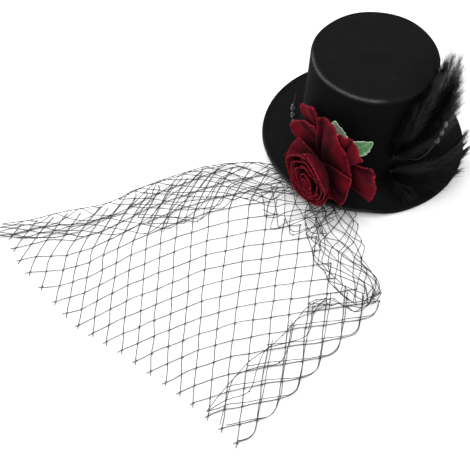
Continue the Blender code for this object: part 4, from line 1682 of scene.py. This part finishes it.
@dataclass
class Stage:
    """A pale floor, soft studio light from above and the camera at the photograph's angle."""

    camera_place: tuple[float, float, float] = (0.0, -0.39997, 0.44892)
    camera_turn: tuple[float, float, float] = (34.829, 0.0, 11.912)
    lens: float = 69.70
    sensor: float = 36.0
    floor_half: float = 3.0
    floor_drop: float = 0.0001
    floor_white: float = 0.96
    sky: float = 0.95
    look_height: float = 0.03
    lamps: tuple[Lamp, ...] = (
        Lamp("key", (-0.35, 0.25, 0.95), 0.6, 7.0), Lamp("fill", (0.5, -0.5, 0.7), 0.8, 2.0),
    )

    def floor(self) -> None:
        """A plain pale floor, just below the hat."""
        parts = MeshParts()
        line = np.linspace(-self.floor_half, self.floor_half, 3)
        x, y = np.meshgrid(line, line, indexing="xy")
        parts.grid(np.stack([x, y, np.zeros_like(x) - self.floor_drop], -1))
        mesh = bpy.data.meshes.new("floor")
        mesh.from_pydata(parts.points[0], [], parts.faces[0])
        floor = bpy.data.objects.new("floor", mesh)
        bpy.context.scene.collection.objects.link(floor)
        material = bpy.data.materials.new("pale_floor")
        material.use_nodes = True
        shader = material.node_tree.nodes["Principled BSDF"]
        shader.inputs["Base Color"].default_value = (self.floor_white,) * 3 + (1.0,)
        shader.inputs["Roughness"].default_value = 0.9
        shader.inputs["Specular IOR Level"].default_value = 0.1
        mesh.materials.append(material)

    def light(self, lamp: Lamp) -> None:
        """Sets up one soft light that faces the hat.

        Args:
            lamp: The light's sizes.
        """
        source = bpy.data.lights.new(lamp.name, "AREA")
        source.shape = "SQUARE"
        source.size = lamp.size
        source.energy = lamp.power
        holder = bpy.data.objects.new(lamp.name, source)
        bpy.context.scene.collection.objects.link(holder)
        target = HAT_AXIS + np.array([0.0, 0.0, self.look_height])
        holder.location = (HAT_AXIS + np.array(lamp.place)).tolist()
        way = target - np.array(holder.location)
        flat = math.hypot(way[0], way[1])
        holder.rotation_euler = (math.atan2(flat, -way[2]), 0.0, math.atan2(-way[0], way[1]))

    def build(self) -> None:
        """Sets up floor, world, lights and camera."""
        self.floor()
        world = bpy.data.worlds.new("studio")
        world.use_nodes = True
        back = world.node_tree.nodes["Background"]
        back.inputs[0].default_value = (1.0, 1.0, 1.0, 1.0)
        back.inputs[1].default_value = self.sky
        scene = bpy.context.scene
        scene.world = world
        scene.view_settings.view_transform = "Standard"
        for lamp in self.lamps:
            self.light(lamp)
        camera = bpy.data.cameras.new("camera")
        camera.lens = self.lens
        camera.sensor_width = self.sensor
        camera.clip_start = 0.01
        holder = bpy.data.objects.new("camera", camera)
        scene.collection.objects.link(holder)
        holder.location = (HAT_AXIS + np.array(self.camera_place)).tolist()
        holder.rotation_euler = tuple(math.radians(a) for a in self.camera_turn)
        scene.camera = holder


def dress_kept_nodes() -> None:
    """Gives the solids that stay in view their real finish."""
    for node, finish in (("hair_clip", SpringSteel()), ("rose_calyx", FloralTape())):
        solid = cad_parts[node]
        solid.data.materials.clear()
        solid.data.materials.append(finish.material())
        LOG.info("%s keeps its solid", node)


UPPER_BLADES = (
    Blade(0.16, 0.76, 0.45, 0.9), Blade(0.36, 0.98, 0.50, 1.0), Blade(0.63, 1.00, 0.12, 1.1),
    Blade(0.77, 1.01, 0.17, 1.0), Blade(0.94, 1.00, 0.43, 0.9), Blade(0.96, 0.96, 0.82, 0.9),
    Blade(0.90, 0.88, 0.93, 1.0), Blade(0.88, 0.78, 1.01, 1.0), Blade(0.86, 0.68, 1.09, 1.0),
    Blade(0.84, 0.58, 1.13, 1.0), Blade(0.84, 0.93, 0.64, 1.0), Blade(0.80, 0.80, 0.78, 1.0),
)
LOWER_BLADES = (
    Blade(0.94, 0.24, 1.95, 0.7), Blade(0.84, 0.13, 1.95, 0.8), Blade(0.58, 0.11, 1.85, 0.9),
    Blade(0.32, 0.11, 1.45, 0.9), Blade(0.06, 0.11, 1.00, 0.8),
)


def main() -> None:
    """Builds every piece in order."""
    logging.basicConfig(level=logging.INFO, format="%(name)s %(message)s")
    hat = FeltHat()
    rose = VelvetRose()
    Stage().build()
    hat.build()
    NetVeil().build(hat)
    rose.build(hat)
    LeafSpray().build(rose, hat)
    BeadSprays().build(rose, hat)
    FeatherBunch("feathers_upper", 0.0280, UPPER_BLADES, 3).build(hat, rose)
    FeatherBunch("feathers_lower", 0.0150, LOWER_BLADES, 5).build(hat, rose)
    dress_kept_nodes()


if __name__ == "__main__":
    main()
